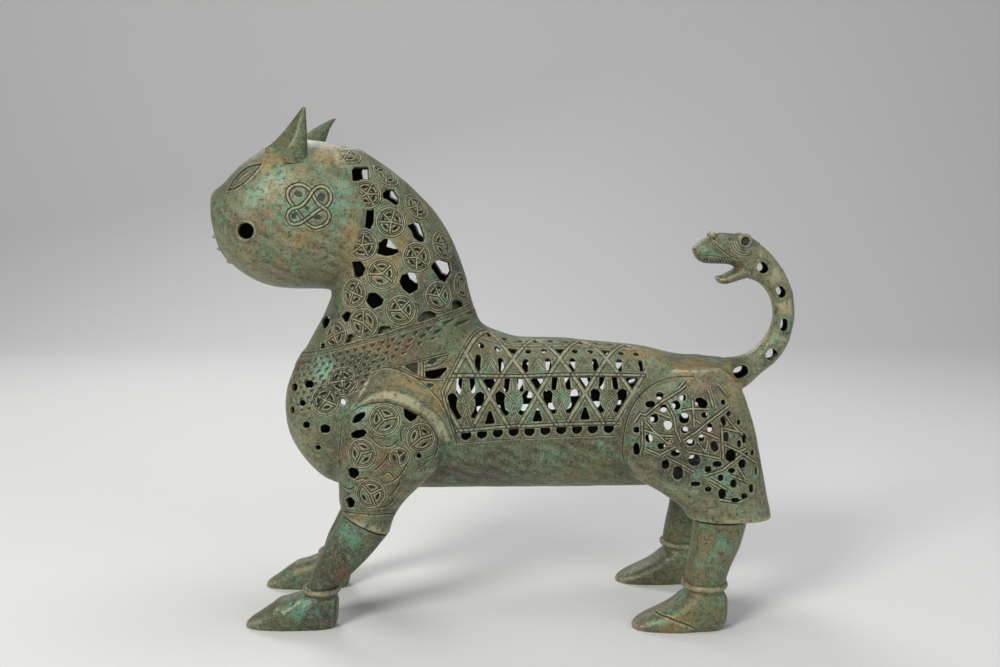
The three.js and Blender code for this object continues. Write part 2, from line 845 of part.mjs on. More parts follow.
function tooth([x, z]) {
  const geometry = new THREE.ConeGeometry(TOOTH_RADIUS, TOOTH_LENGTH, 6);
  geometry.rotateZ(Math.PI / 2);
  geometry.translate(x - TOOTH_LENGTH / 2, 0, z);
  return toSolid(geometry);
}

// The hollow of an ear is a smaller leaf, moved forward and outward out of its front
function scoopRib([ax, az, bx, bz, w, shift], share) {
  const length = bx - ax;
  return [
    ax - length * EAR_SCOOP,
    az,
    ax + length * (share - EAR_SCOOP),
    az + (bz - az) * share,
    w * share,
    shift + w * EAR_SCOOP,
  ];
}

function ear(side, back) {
  const leaf = EAR.map(([ax, az, bx, bz, w, shift], i) => {
    const lean = (back * i) / (EAR.length - 1);
    return [ax + lean, az, bx + lean, bz, w, shift];
  });
  const options = { y: EAR_Y, side };
  const scoop = leaf.slice(0, -1).map((rib) => scoopRib(rib, EAR_SCOOP_SIZE));
  return loft(leaf, options).subtract(loft(scoop, options)).subtract(headForm(FIT));
}

const lid = new THREE.Group();
const headSide = sideView(RIM_LINE);
const headGap = sideView(RIM_LINE.map(([x, z]) => [x + FIT, z - FIT]));
const headShell = join([pierced.intersect(headSide), ...TEETH.map(tooth)]);
const neckShell = pierced.intersect(seamSlab(FIT, 2 * OUTSIDE)).subtract(headGap);
lid.add(piece("neck_shell", neckShell, greenBronze));
lid.add(piece("neck_spigot", neckSpigot(), brownBronze));
lid.add(piece("head_shell", headShell, greenBronze));
lid.add(piece("left_ear", ear(-1, 0), greenBronze));
lid.add(piece("right_ear", ear(1, RIGHT_EAR_BACK), greenBronze));

const lion = new THREE.Group();
lion.add(body, lid, charcoalPan());

export default lion;
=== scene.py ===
import math

import bpy
import numpy as np
from mathutils import Matrix, Vector
from mathutils.bvhtree import BVHTree


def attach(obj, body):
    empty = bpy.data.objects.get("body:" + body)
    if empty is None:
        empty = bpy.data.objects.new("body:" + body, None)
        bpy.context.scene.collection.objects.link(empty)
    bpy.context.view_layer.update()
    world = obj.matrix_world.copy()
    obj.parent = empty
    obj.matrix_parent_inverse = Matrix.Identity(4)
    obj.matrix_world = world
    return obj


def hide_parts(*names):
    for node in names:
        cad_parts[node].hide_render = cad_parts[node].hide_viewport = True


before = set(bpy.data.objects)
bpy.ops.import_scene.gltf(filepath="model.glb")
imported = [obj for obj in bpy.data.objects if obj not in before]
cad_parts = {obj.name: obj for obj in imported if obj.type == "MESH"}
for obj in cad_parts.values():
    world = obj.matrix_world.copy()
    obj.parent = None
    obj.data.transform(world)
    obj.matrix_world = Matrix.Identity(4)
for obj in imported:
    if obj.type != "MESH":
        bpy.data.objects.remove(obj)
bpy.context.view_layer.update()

# Everything is shaped in millimetres and put down in metres
MM = 0.001

# Camera of the photograph: place in millimetres, focal length in pixels of a 1000 pixel frame
CAMERA = np.array([-27.5, -1000.0, 388.0])
YAW = math.radians(1.267)
PITCH = math.radians(7.7035)
FOCAL = 1120.0
FRAME_WIDTH = 1000
FRAME_HEIGHT = 667
SENSOR = 36.0
FORWARD = np.array(
    [math.sin(YAW) * math.cos(PITCH), math.cos(YAW) * math.cos(PITCH), -math.sin(PITCH)]
)
RIGHT = np.array([math.cos(YAW), -math.sin(YAW), 0.0])
UP = np.array([math.sin(YAW) * math.sin(PITCH), math.cos(YAW) * math.sin(PITCH), math.cos(PITCH)])
PX = 0.86  # millimetres across a pixel at the lion's near side

# Shaping: shares of a pass that smooths and one that fills, the shortest edge left, how square
# a rounded hole is, the rounding of drawn corners, and a distance that counts as far off
SMOOTH_SHARES = (0.5, -0.52)
FILL_SHARE = 0.8
SLIVER = 0.16
BLOB_POWER = 2.4
CORNER_RADIUS = 1.3
FAR = 50.0

# Walls, the gap at the seam and the least height of a foot above the floor
WALL = 3.0
TAIL_WALL = 2.6
SEAM_GAP = 0.35
GROUND_GAP = 0.05

# Seam between lid and body, and the line where head meets neck, in the side view
SEAM_FRONT = np.array([-181.0, 238.0])
SEAM_BACK = np.array([-30.0, 281.0])
SEAM_LENGTH = np.linalg.norm(SEAM_BACK - SEAM_FRONT)
SEAM_ALONG = (SEAM_BACK - SEAM_FRONT) / SEAM_LENGTH
SEAM_SQUARE = np.array([-SEAM_ALONG[1], SEAM_ALONG[0]])
RIM_LINE = [
    (-121, 500), (-121, 350), (-124, 340), (-131, 327), (-138, 314), (-142, 302),
    (-153, 291.5), (-175, 285), (-320, 285), (-320, 500),
]
CHEST_END_X = -12.0
RUMP_START_X = 94.0
TAIL_LINE = [(219, 204), (211, 231.5)]
# Where the castings end over the shins: a slope on the fore legs, a level on the hind legs
SLEEVE_END = ([-144, -104], [103, 83])
SLEEVE_END_SLOPE = 0.894
HAUNCH_END = 96.9
LEG_TOP = 112

# Ribs: each crosses a form from (ax, az) to (bx, bz) of the side view and reaches w to each
# side of the middle. The last number moves the rib's middle sideways
RIB_NUMBERS = 6
TRUNK = [
    (-197, 180, -197, 196, 12), (-194, 166, -195, 208, 28), (-187, 152, -190, 222, 42),
    (-176, 137, -184, 236, 51), (-160, 122, -165, 250, 57), (-130, 114, -125, 262, 61),
    (-90, 113.5, -75, 270, 61), (-50, 113.5, -35, 268, 58), (-20, 113.5, -14, 257, 56),
    (13, 113.5, 13, 249.5, 55), (45, 113.5, 45, 248.5, 55), (85, 114, 85, 245, 56),
    (121, 114.5, 121, 241, 57), (152, 118, 158, 233, 56), (180, 128, 190, 230.5, 50),
    (199, 148, 206, 227, 38), (208, 168, 212, 213, 22),
]
NECK = [
    (-193, 205, -14, 240, 57), (-181, 238, -30, 281, 57), (-171.5, 255, -37, 308, 55.5),
    (-161, 275, -47, 335, 54), (-153, 297, -61, 359, 53), (-152, 320, -84, 384, 52.5),
    (-157, 345, -111, 405, 51), (-166, 372, -137, 418, 46), (-182, 390, -165, 417, 34),
]
HEAD = [
    (-259, 363, -259.5, 375, 8), (-257, 347, -257.5, 380, 17), (-252, 331, -252, 384, 27),
    (-244, 318, -244, 391, 36), (-233, 308, -233, 402, 43), (-218, 300, -218, 413, 50),
    (-200, 295, -200, 424, 55), (-180, 294, -180, 425, 58), (-160, 294, -160, 423, 59),
    (-140, 295, -140, 419, 58), (-122, 301, -122, 410, 55), (-105, 313, -105, 399, 48),
    (-95, 330, -95, 388, 36),
]
SLEEVE = [
    (-112, 214, -92, 214, 7, -6), (-131, 205, -73, 203, 16, -4), (-142, 189, -59, 186, 21, -3),
    (-146, 168, -52, 166, 23, -3), (-147, 148, -58, 145, 23, -3), (-147, 130, -74, 128, 22, -2.5),
    (-146.5, 115, -91, 111, 20.5, -1.5), (-145.5, 109, -99, 98, 19.2, -0.8),
    (-144, 103, -104, 83, 18.6, 0),
]
HAUNCH = [
    (145, 226, 186, 227, 8, -19), (121, 211, 203, 212, 18, -14), (106, 195, 210, 193, 22, -12),
    (98, 176, 216, 174, 23.5, -11), (99, 152, 221, 152, 24, -11), (111, 133, 225, 132, 24, -10.5),
    (134, 119, 228, 116, 23.5, -9.5), (152, 106, 230.5, 104, 22.8, -8),
    (159, 96, 231.5, 96, 22.4, -7),
]
FORE_SHIN = [
    (-143.6, 102.4, -104.8, 82.8, 17.8, 0), (-154.5, 83, -122, 62, 17, 0),
    (-164, 64, -134, 50, 15.6, 0), (-170.6, 50.5, -143, 42, 14.6, 0),
    (-175.4, 36, -150.6, 36, 13.8, 0),
]
HIND_SHIN = [
    (163, 95.7, 209.5, 95.7, 19.5, -3), (160.5, 74, 203.5, 74, 19.5, -1.5),
    (157.4, 57, 196, 57, 18.6, -0.5), (156, 46, 192.2, 46, 17.4, 0), (155.8, 41, 191.4, 41, 17.2, 0),
]
FORE_FOOT = [
    (-230.5, 0, -230, 3.6, 3, 0), (-226, -3, -226, 7, 8, 0), (-217, -5, -217, 13, 12, 0),
    (-206, -6, -206, 21, 14.5, 0), (-200, -6, -200, 25, 15.8, 0), (-192, -6, -192, 27, 16.5, 0),
    (-179, -6, -179, 31, 16.5, 0), (-165, -6, -164, 34, 15.5, 0), (-155, -3, -152, 31, 12, 0),
    (-150, 5, -148.5, 24, 6, 0),
]
HIND_FOOT = [
    (109.5, 0, 110, 3.4, 4, 0), (114, -3, 114, 6.5, 10.5, 0), (122, -5, 122, 10.8, 14.6, 0),
    (133, -6, 133, 16.2, 17.6, 0), (146, -6, 146, 23.6, 19.4, 0), (159, -6, 158, 33, 20, 0),
    (174, -6, 173.5, 39, 19.6, 0), (186, -3, 187, 36, 16, 0), (191.5, 4, 193, 27, 9, 0),
]
TAIL = [
    (199, 230, 208, 198, 14), (211, 231.5, 219, 204, 13.6), (222, 236.5, 231, 215, 12),
    (231, 245, 246, 228, 10.5), (238.5, 257, 257, 247, 10), (241, 270, 260.5, 268, 10),
    (239, 282, 259, 287, 10), (234, 292, 251, 306, 10.5), (226, 299, 238, 324, 12),
    (217, 302, 225, 335, 14),
]
FORE_ANKLE = [(-177, 12, -150, 12, 13, 0), (-175.5, 32, -150, 32, 13, 0)]
HIND_ANKLE = [(157, 14, 189.5, 14, 15.5, 0), (157, 37, 190, 37, 16.5, 0)]
FORE_Y = 50.0
HIND_Y = 58.0
FORE_RING = (-163.4, 33.6, 16.8, 3.1)
HIND_RING = (172.9, 38.9, 20.4, 3.1)
TRUNK_POWER = 2.3
HEAD_POWER = 2.15
LEG_POWER = 2.1
FOOT_POWER = 2.5

# Spigot inside the foot of the neck: levels square to the seam, with how far the ring leans
# in from the throat and from the nape there, and its distances in from the outside
SPIGOT_LEVELS = [(-14.0, 0, 0), (-13.2, 0, 0), (0, 0, 0), (7.0, 7, 5)]
SPIGOT_OUTSIDE = 4.0
SPIGOT_INSIDE = 6.3
SPIGOT_CHAMFER = 0.7

# Charcoal pan: middle of its underside, and the outline that is turned round it
PAN_PLACE = (-100.0, 0.0, 122.2)
PAN_OUTLINE = [
    (0.5, 0.6), (13.6, 0.6), (14.2, 0.0), (14.8, 0.1), (15.0, 0.6), (15.0, 2.6), (15.6, 3.0), (24, 3.1),
    (27.6, 4.0), (30.4, 6.4), (32.8, 10.0), (34.6, 14.0), (34.7, 14.7), (34.2, 15.0), (33.6, 14.9),
    (33.2, 14.3), (31.4, 10.6), (29.2, 7.4), (26.8, 5.6), (23.6, 4.7), (0.5, 4.6),
]

# Boxes of the photograph that hold the ornament of each zone: left, top, right and bottom
NECK_BOX = (0, 0, 500, FRAME_HEIGHT)
CHEST_BOX = (0, 0, 350, FRAME_HEIGHT)
HEAD_BOX = (0, 0, 350, 300)
SHOULDER_BOX = (325, 355, 470, 545)
HAUNCH_BOX = (610, 0, FRAME_WIDTH, 516)
TAIL_BOX = (725, 0, FRAME_WIDTH, 380)

# Ornament, in pixels of the photograph: the near side is drawn there and the far side is its
# mirror image. A hole is x, y, width, height and tilt in degrees, or a list of corners
NECK_FRONT = [
    (334, 146), (345, 160), (352, 172), (357, 182), (361, 190), (365, 206), (366, 222), (362, 234),
    (355, 246), (348, 262), (344, 280), (335, 292), (325, 300),
]
NECK_HOLES = [
    [(355, 167), (369, 167), (369, 180), (353, 181), (352, 170)],
    [(381, 195), (387, 189), (394, 189), (399, 197), (399, 204), (397, 205), (388, 199), (382, 196.5)],
    [(367.5, 208), (373.5, 208), (373, 222), (370, 229.5), (366, 228)],
    [(408, 225), (413, 223.5), (416, 221), (420, 222), (425, 237), (424.5, 242), (420, 242),
     (415, 238), (412, 230)],
    [(374.5, 245), (381, 242), (385, 238.5), (390, 239.5), (399.5, 252), (393, 255), (386, 256),
     (377, 253.5)],
    [(352, 262), (360, 261), (365, 268), (362, 276), (355, 279)],
    [(399.5, 281), (402, 275), (410, 272.5), (416, 273), (418.5, 286), (418, 290), (410, 294),
     (403, 289)],
    [(431, 266), (435, 261), (441, 259.5), (450, 262), (452, 272), (448, 279), (446, 282),
     (441, 281), (436, 273)],
    [(364.5, 295.5), (370, 293), (376, 293), (384, 300), (382, 305), (373, 309), (367, 303)],
    [(453, 301), (456, 299), (463, 302), (464, 306), (459, 315), (456, 314), (453, 309)],
    [(417, 319), (424, 312), (431, 311), (437, 314), (434, 320), (426, 323), (420, 324)],
    [(341, 340), (345, 336), (352, 334), (356, 337), (356, 341), (348, 345), (342, 344)],
    [(377, 330), (380, 327), (385, 326), (390, 327), (393, 330), (386, 333), (378, 335)],
    [(341, 316), (346, 311), (351, 313), (351, 320), (345, 322)],
    [(321, 320), (326, 315), (329, 318), (328, 325), (323, 329)],
    [(313, 351), (318, 345), (324, 343), (326, 346), (320, 351), (315, 354)],
]
# A roundel is x, y and the directions of its spokes in degrees, seen in the photograph
NECK_ROUNDELS = [
    (391, 222, (180, 132, 71, -13, -95)), (417, 206, (195, 118, 45, -35, -108)),
    (386, 175, (150, 60, -30, -120)), (417, 257, (187, 122, 50, -36, -92)),
    (382, 274, (180, 132, 45, -35)), (443, 245, (170, 100, 20, -70)),
    (439, 296, (172, 112, 58, -45)), (401, 310, (182, 122, 48, -45)),
    (363.5, 323, (265, 160, 90, -45)), (353, 293, (150, 55, -20, -110)),
    (462, 286, (120, 30, -60, -140)), (367, 194, (60, 0, -60, -150, 140)),
    (362, 245, (80, 10, -60, -140, 160)), (347, 154, (150, 60, -30, -120)),
    (334, 335, (100, 20, -60, -150)),
]
NECK_RADIUS = 13.2
SHOULDER_ROUNDELS = [
    (384, 420, (122, 14, -135)), (421, 438, (100, 15, -140)), (361.5, 453.5, (125, 15, -120)),
    (370.5, 494, (130, 25, -70)), (399, 457, (115, 40, -80)),
]
SHOULDER_RADIUS = 13.2
SMALL_RADIUS = 9.0
# Ring of a roundel: how far it reaches past the radius, and where its groove and its leaves lie
RING_LIP = 0.9
RING_STEP = 2.1
RING_BAND = 3.0
SHOULDER_HOLES = [
    [(403.5, 407.5), (412, 409.5), (418.5, 414), (416, 419), (410.5, 421.5), (405, 417)],
    [(352, 422), (355, 416), (361, 412.5), (365.5, 412), (364.5, 416), (358, 421.5), (353, 423.5)],
    [(350, 434), (356, 430.5), (364, 430), (367, 432), (364, 436), (355, 438), (351, 437.5)],
    [(347.5, 469), (352, 467.5), (358, 470), (359, 475), (354, 479), (349, 476.5)],
    [(345.5, 499), (350, 497), (354.5, 501), (353.5, 507), (349, 508.5)],
    [(416.5, 454.5), (419, 453.5), (422.5, 456.5), (420.5, 458.5), (417.5, 457.5)],
]
SHOULDER_LEAVES = [
    [(371, 437), (376, 443), (383, 447)], [(398, 440), (392, 446), (386, 447)],
    [(404, 426), (400, 433), (402, 441)], [(375, 470), (383, 463), (388, 455)],
    [(381, 476), (389, 471), (394, 478)], [(386, 484), (396, 480), (404, 470), (408, 462)],
    [(389, 497), (396, 490), (400, 481)], [(356, 480), (362, 478), (368, 478)],
    [(344, 487), (350, 490), (354, 487)], [(426, 458), (434, 455), (438, 449)],
    [(380, 508), (388, 506), (394, 500)],
]
CHEST_ROUNDELS = [(325, 400.5, (60, -20, -130, 150)), (342, 381, (100, 10, -80, 190))]
CHEST_RADIUS = 12.6
CHEST_HOLES = [
    (309, 384, 9, 8, 20), (294, 387, 6, 8, 0), (325, 429, 10, 9, 0), (302, 403, 6, 6, 0),
    (306, 425, 7, 7, 0), (318, 448, 6, 5, 0), (292, 410, 4, 8, 0), (343, 402, 6, 6, 0),
]
SHOULDER_PANEL = [
    (341, 425), (349, 412), (360.8, 405.8), (371.6, 402.5), (388, 401.5), (403, 405.8),
    (418.3, 413.4), (427, 420), (434.5, 430.7), (439.5, 440), (437, 455), (424, 466), (408, 478),
    (399, 490), (396, 503), (389, 512), (345, 509), (341, 492), (338, 455),
]
CRESCENT = [
    (340.5, 428), (346.7, 415.5), (360.8, 401.5), (371.6, 393.3), (385.7, 389.5), (401, 390.6),
    (417.2, 398.2), (433.5, 410), (444.3, 422), (452.5, 440), (447, 443), (439.5, 438.5),
    (434.5, 430.7), (427, 420), (418.3, 413.4), (403, 405.8), (388, 401.5), (371.6, 402.5),
    (360.8, 406.3), (349, 413.5),
]
SHOULDER_EDGE = [
    (372, 371), (386, 366.5), (400, 370), (412, 375.5), (423.7, 383), (438.9, 398.2),
    (447.6, 413.4), (454, 427.5), (457, 443),
]
CUFF_LINE = [(339, 510), (350, 513), (375, 515), (400, 513)]
PANEL = [(391, 366), (450, 349), (466, 346), (446, 384), (435, 388), (424, 384)]
PANEL_LINES = [
    [(393.7, 366), (447.5, 352.7)], [(401, 365.8), (448, 355)],
    [(393.7, 366.5), (423, 381.5), (444, 380.5)], [(398, 366.5), (424, 379), (443, 378)],
    [(420, 361), (420.5, 377.5)], [(423.3, 360.5), (423.8, 378)],
    [(425.5, 368), (437, 366), (445, 361), (449, 353.5)], [(425.5, 364.5), (433, 360), (441, 357)],
]
PANEL_HOLE = [(424.8, 372), (436, 370), (448, 367.5), (441, 376), (433, 378.3), (425, 376.5)]
PANEL_DIPS = [[(405, 366), (418, 363.3), (417, 374)], [(427, 384), (434, 384.5), (430, 387.5)],
              [(427, 363.3), (433, 359.3), (437.5, 359.6), (432, 363.8)]]
HAUNCH_CENTRE = (700, 445)
HAUNCH_RADIUS = 76.0
HAUNCH_ARC = [
    (624, 462), (622, 452), (622.7, 441), (624.5, 428), (628.3, 415), (634, 403), (641.5, 393.5),
    (650, 386), (659, 381), (669, 377.5), (680, 376), (694, 376),
]
HAUNCH_HOLES = [
    (650, 404, 10, 7, 0), (659.6, 395.6, 7.5, 7.5, 0), (663.5, 408, 7.5, 7.5, 0),
    (676.3, 405, 8, 9.5, -30), (682.8, 397.5, 6.6, 6.6, 0), (701.7, 402.7, 9, 13.7, -60),
    (723.5, 402.2, 4.7, 5.7, -20), (654, 418.5, 8.5, 8.5, 0), (668.4, 425.4, 8, 11, -25),
    (684.2, 418.3, 10.4, 10.4, 0), (684.7, 430.2, 7.6, 6.6, 0), (704.8, 415, 7, 5.7, 0),
    (710.3, 428, 5.7, 9, 0), (723.5, 421.2, 5.2, 9.5, -20), (729, 413.6, 4.3, 5.7, 20),
    (739, 422.3, 3.8, 5.2, 0), (636.4, 429.9, 6.6, 6.2, 0), (648.7, 438.4, 7, 8.5, -20),
    (661.2, 446.3, 7.6, 6.6, 0), (690.8, 443, 8, 6.6, 0), (701.7, 438.2, 5.7, 6.6, 0),
    (714.5, 446.5, 7.6, 11.4, -25), (726.5, 436.8, 5.2, 10, 0), (739.4, 443.9, 4.3, 7.6, 0),
    (744.5, 438.4, 4.3, 10, 0), (675.4, 453.5, 9.5, 6.2, 0), (636, 449, 6.6, 12.3, 0),
    (694.6, 460.7, 12.3, 11, 0), (708.2, 469.2, 7, 7, 0), (717.4, 464.2, 9.5, 6.2, 0),
    (731, 455.7, 10.9, 12.3, 0), (742.5, 463.8, 8, 9, 0), (752.7, 452.6, 3.3, 6.2, 0),
    (665.5, 464.7, 8, 9.5, 0), (678, 473, 10.4, 13.7, 0), (732, 470.6, 7.6, 5.2, 0),
    (720.9, 478, 6.2, 6.6, 0), (733.9, 483.7, 6.6, 8.5, 0), (751.5, 488.4, 4.7, 9, 0),
    (744.5, 496, 7, 5.7, 0), (722.4, 494, 8, 10, 0), (735.6, 500.2, 9, 4.7, 0),
    (695.6, 484, 10, 5, 0), (708.4, 489.5, 7, 5, 0), (756.5, 470.9, 2.4, 8.5, 0),
    (747, 453.8, 3, 3, 0),
]
HAUNCH_STRAPS = [
    [(634, 423), (640, 413.6), (645.4, 415), (661, 402.2), (680, 390.4), (685.6, 385.6)],
    [(642, 422), (642.5, 446), (640, 455)], [(644, 430), (653.4, 433.5), (660, 435.4), (675, 436.3)],
    [(654.4, 412), (670.5, 418.3)], [(645, 421.6), (653.4, 430.6), (660, 436.3), (668.6, 444.8)],
    [(666.7, 404), (674, 417), (676, 430.6), (681, 442)],
    [(682.8, 440.6), (696, 432.5), (704.6, 425), (712, 419.3), (719.7, 413.6), (729, 406)],
    [(692.3, 397.5), (694.6, 426.8)], [(681, 410.7), (692, 408.8), (710, 409.3)],
    [(695.6, 419.7), (701, 424)], [(701.7, 431.6), (719.7, 439)], [(698, 442), (705.5, 452.4)],
    [(708, 441), (706, 452)], [(687.5, 452), (700.8, 454.3), (719.7, 458.6)],
    [(659, 455.3), (676, 446.7)], [(645, 448.6), (659, 454.3)],
    [(665.7, 457), (680, 463.8), (695, 472.3)],
    [(721.6, 423), (723.5, 461)], [(724.5, 444.8), (738.7, 451.5), (756.7, 462.8)],
    [(722.6, 427.8), (742.5, 433)], [(724.5, 414.5), (734, 426.8), (743.4, 435.4), (748, 442)],
    [(738.7, 451.5), (746.2, 448.6)], [(705.5, 476), (723.5, 469.5), (741.5, 455)],
    [(710, 479.9), (729, 491)], [(730, 475), (748, 482.7)], [(738.7, 468), (746, 480)],
    [(719.7, 499.8), (738.7, 502.6), (751, 497)], [(685, 380), (678, 389)],
    [(708, 389), (714, 408)], [(718, 384), (727, 394.6)], [(671, 440), (668, 443), (672, 444)],
]
TAIL_HOLES = [
    (741, 371.5, 15, 13, -20), (772, 355, 12, 12, 30), (784, 325, 9, 13, 0), (781, 292, 10, 12, -30),
    (763, 268, 11, 12, -30),
]
EYE_LINES = [
    [(228, 190), (233, 181), (240, 173), (249, 166.5), (261, 164)],
    [(228, 190), (236, 188.3), (243.6, 183), (252, 175), (261, 164)],
]
MUZZLE_HOLE = (245.5, 231, 8.3)
KNOT_LOOPS = [
    [(288, 199), (287, 192), (291, 186.5), (299, 184), (306, 186), (311, 191), (314, 197),
     (318, 204), (324, 208), (329, 212), (330, 218), (326, 224), (320, 227), (313, 228), (306, 223),
     (300, 215), (294, 207)],
    [(312, 192), (316, 188), (321, 186), (327, 188), (331, 194), (331, 201), (327, 206.5),
     (320, 209), (313, 214), (306, 220), (299, 224), (292, 225), (287.5, 220), (287.5, 213),
     (292, 208.5), (298, 207.5), (303, 205), (308, 199)],
]
KNOT_RING = (307.5, 193.5)
# Where the loops cross, and the circle that holds the knot
KNOT_CROSSING = (306, 205)
KNOT_CENTRE = (309, 206)
KNOT_REACH = 34
# Dips between the loops: x, y, width, height and tilt
KNOT_DIPS = [
    (298.5, 194, 9, 6, 20), (321.5, 197, 9, 8, -40), (316.5, 217, 13, 6, 15), (294, 216, 6, 8, 0),
    (307, 208, 7, 5, 30),
]
INSTEP_RIDGE = [(304, 595), (301, 600), (297, 604), (291, 609), (284, 613)]
FOOT_CRACK = [(650, 609), (655, 611), (661, 615), (668, 617), (676, 621), (684, 623.5), (694, 628)]

# Collar under the seam: its depth along the seam, where its rows of wedges start, the height of
# a row and the pitch of its wedges, in millimetres
COLLAR_DEPTH = ([0, 40, 75, 130, 160], [46, 42, 25, 15, 13])
COLLAR_START = 3.8
COLLAR_ROW = 4.7
COLLAR_PITCH = 8.8

# Flank, in millimetres along it and round it from where its straps cross. The pattern repeats,
# and each repeat is mirrored about its middle
BARREL_PERIOD = 41.0
BARREL_HALF = BARREL_PERIOD / 2
BARREL_THIRD = 6.83
BARREL_START = -15.2
# Section from which the way round is measured, and the level of the crossings on it
BARREL_EVEN_X = 8.0
BARREL_WIDTH = 55.5
BARREL_HEIGHT = 67.0
BARREL_LEVEL = 23.3
BARREL_CLIMB = 0.064
# Limits of the pattern: left edge by level, circle of the haunch, end and lowest level
BARREL_LEFT = ([-40, -2, 6, 46, 60], [-41, -53, -55, -31, -22])
BARREL_BACK = (164, 165, 69)
BARREL_END = 121
BARREL_LOW = -41
BARREL_STRAPS = [
    ((0, 0), (BARREL_HALF, 33.5)), ((BARREL_HALF, 33.5), (0, 67)), ((0, 0), (16.2, -26.5)),
]
BARREL_LEVELS = (17, -26.4, 51)
# Outline of the hole beside a leaf
COMMA = [
    (5.6, 2.2), (8.3, 3.6), (11.2, 2.2), (12.4, -0.5), (11.6, -3.8), (11.5, -7.0), (13.0, -10.9),
    (15.6, -14.8), (14.2, -16.4), (11.0, -14.0), (8.2, -9.4), (5.8, -3.1),
]
# Holes with the rounding of their corners, slots with the radius of each end, drilled holes,
# and engraved lines and leaves
BARREL_HOLES = [
    ([(-3.9, 13.4), (3.9, 13.4), (0, 5.6)], 1.4), ([(0, -13), (-2.8, -21.6), (2.8, -21.6)], 1.4),
    (COMMA, 0.9), ([(BARREL_HALF - 2.8, 45), (BARREL_HALF + 2.8, 45), (BARREL_HALF, 40.6)], 1.2),
    ([(-2.6, 61.5), (2.6, 61.5), (0, 57)], 1.2),
]
BARREL_SLOTS = [((15.2, 14.2), (14.2, 5.5), 2.5, 2.2), ((9.6, 31.5), (10.8, 22.6), 2.5, 2.8)]
BARREL_DRILLED = [(BARREL_THIRD, 42.6, 2.8), (13.67, 60, 2.8)]
BARREL_LINES = [
    ((0, 34.5), (9.4, 19)), ((0, 28.5), (3.8, 21.5)), ((BARREL_HALF, 27.5), (BARREL_HALF - 3.6, 21.2)),
    ((BARREL_HALF, -14.5), (BARREL_HALF - 3.5, -22.3)),
    ((BARREL_HALF - 3.5, -22.3), (BARREL_HALF, -22.3)),
    ((BARREL_HALF - 2, 13), (BARREL_HALF - 1.6, 4)),
]
BARREL_LEAVES = [((BARREL_HALF, -6), (11.6, 3.4)), ((BARREL_HALF, -7.5), (13.8, -25))]

# Mouth and nose, in millimetres: level, half width and half height. A nostril is a level, its
# distance from the middle, half width and half height
MOUTH = (329.5, 12.5, 10.5)
NOSE = (372, 8.0, 6.0)
NOSTRIL = (366, 4.5, 2.0, 1.4)

# Teeth: across the middle and up, the level above which they lean down, and the outline of one
TEETH = [
    (-9, 340.5), (0, 341.5), (9, 340.5), (-13.5, 330), (13.5, 330), (-8.5, 318.5), (0, 317.5),
    (8.5, 318.5),
]
UPPER_LIP = 335
TOOTH_OUTLINE = [(-3.0, 1.9), (0.0, 1.9), (1.5, 1.5), (2.8, 0.8), (3.4, 0.25)]

# Levels of the left ear: height, front edge x and y, outer edge x and y
EAR = [
    (404, -203, -29, -187, -45), (410, -205, -28.5, -190, -45.5), (416.7, -205.2, -28.5, -184.5, -45.2),
    (423, -196.5, -30, -179.9, -44.2), (431, -188.5, -31.5, -176.6, -43.2),
    (438.6, -182.2, -33.5, -174.8, -42), (444.5, -177.2, -35.6, -173.2, -41),
    (450.3, -172.2, -38.2, -171.2, -39.4),
]
EAR_BACK = -169.9
EAR_HALF_WALL = ([400, 425, 451], [1.5, 1.1, 0.35])
EAR_LEVELS = 43
EAR_FOOT_LEVELS = 26
RIGHT_EAR_LEAN = 16.0

# Small beast's head on the tail: ribs as above
CUB_SKULL = [
    (167.6, 325.5, 167.2, 330, 3.5), (169.2, 322, 169.4, 332.2, 7), (173, 318, 173.5, 335.6, 9.5),
    (178, 316, 178.5, 338.6, 11), (184, 315.6, 184.5, 341.4, 12), (191, 315.4, 192, 343.2, 13),
    (199, 315, 200, 342.6, 14), (206, 311.5, 208, 342.2, 14.6), (213, 305, 216.5, 340, 14.6),
    (218.5, 302.2, 227, 334, 13.6),
]
CUB_JAW = [
    (188.3, 302.4, 189.2, 304.8, 4.5), (191, 298.4, 192, 304.6, 7.5), (197, 297, 197, 306.8, 9.5),
    (204, 298.8, 203, 310, 11), (211, 301, 208, 313, 12), (219, 303, 214, 316, 12.5),
]
# Ear, brow and nose of each side: middle and half sizes
CUB_BALLS = [
    ((211.0, 12.6, 336.2), (6.6, 3.6, 6.8)), ((184.0, 5.5, 340.6), (3.4, 3.2, 3.6)),
    ((171.0, 3.6, 327.5), (3.4, 3.4, 3.6)),
]
# Lines round the ear by radius, lines of the cheek in the photograph, and drilled eye and nostril
CUB_RUFF = (8.4, 10.6, 12.8)
CUB_LIP = [(702, 256.5), (712, 255.5), (722, 257.5), (731, 258)]
CUB_CHEEK = [(715, 243), (722, 250), (729, 255.5), (738, 259.5)]
CUB_DRILLED = [(184.5, 338.2, 1.4, 0.9), (168.2, 328, 0.7, 0.8)]

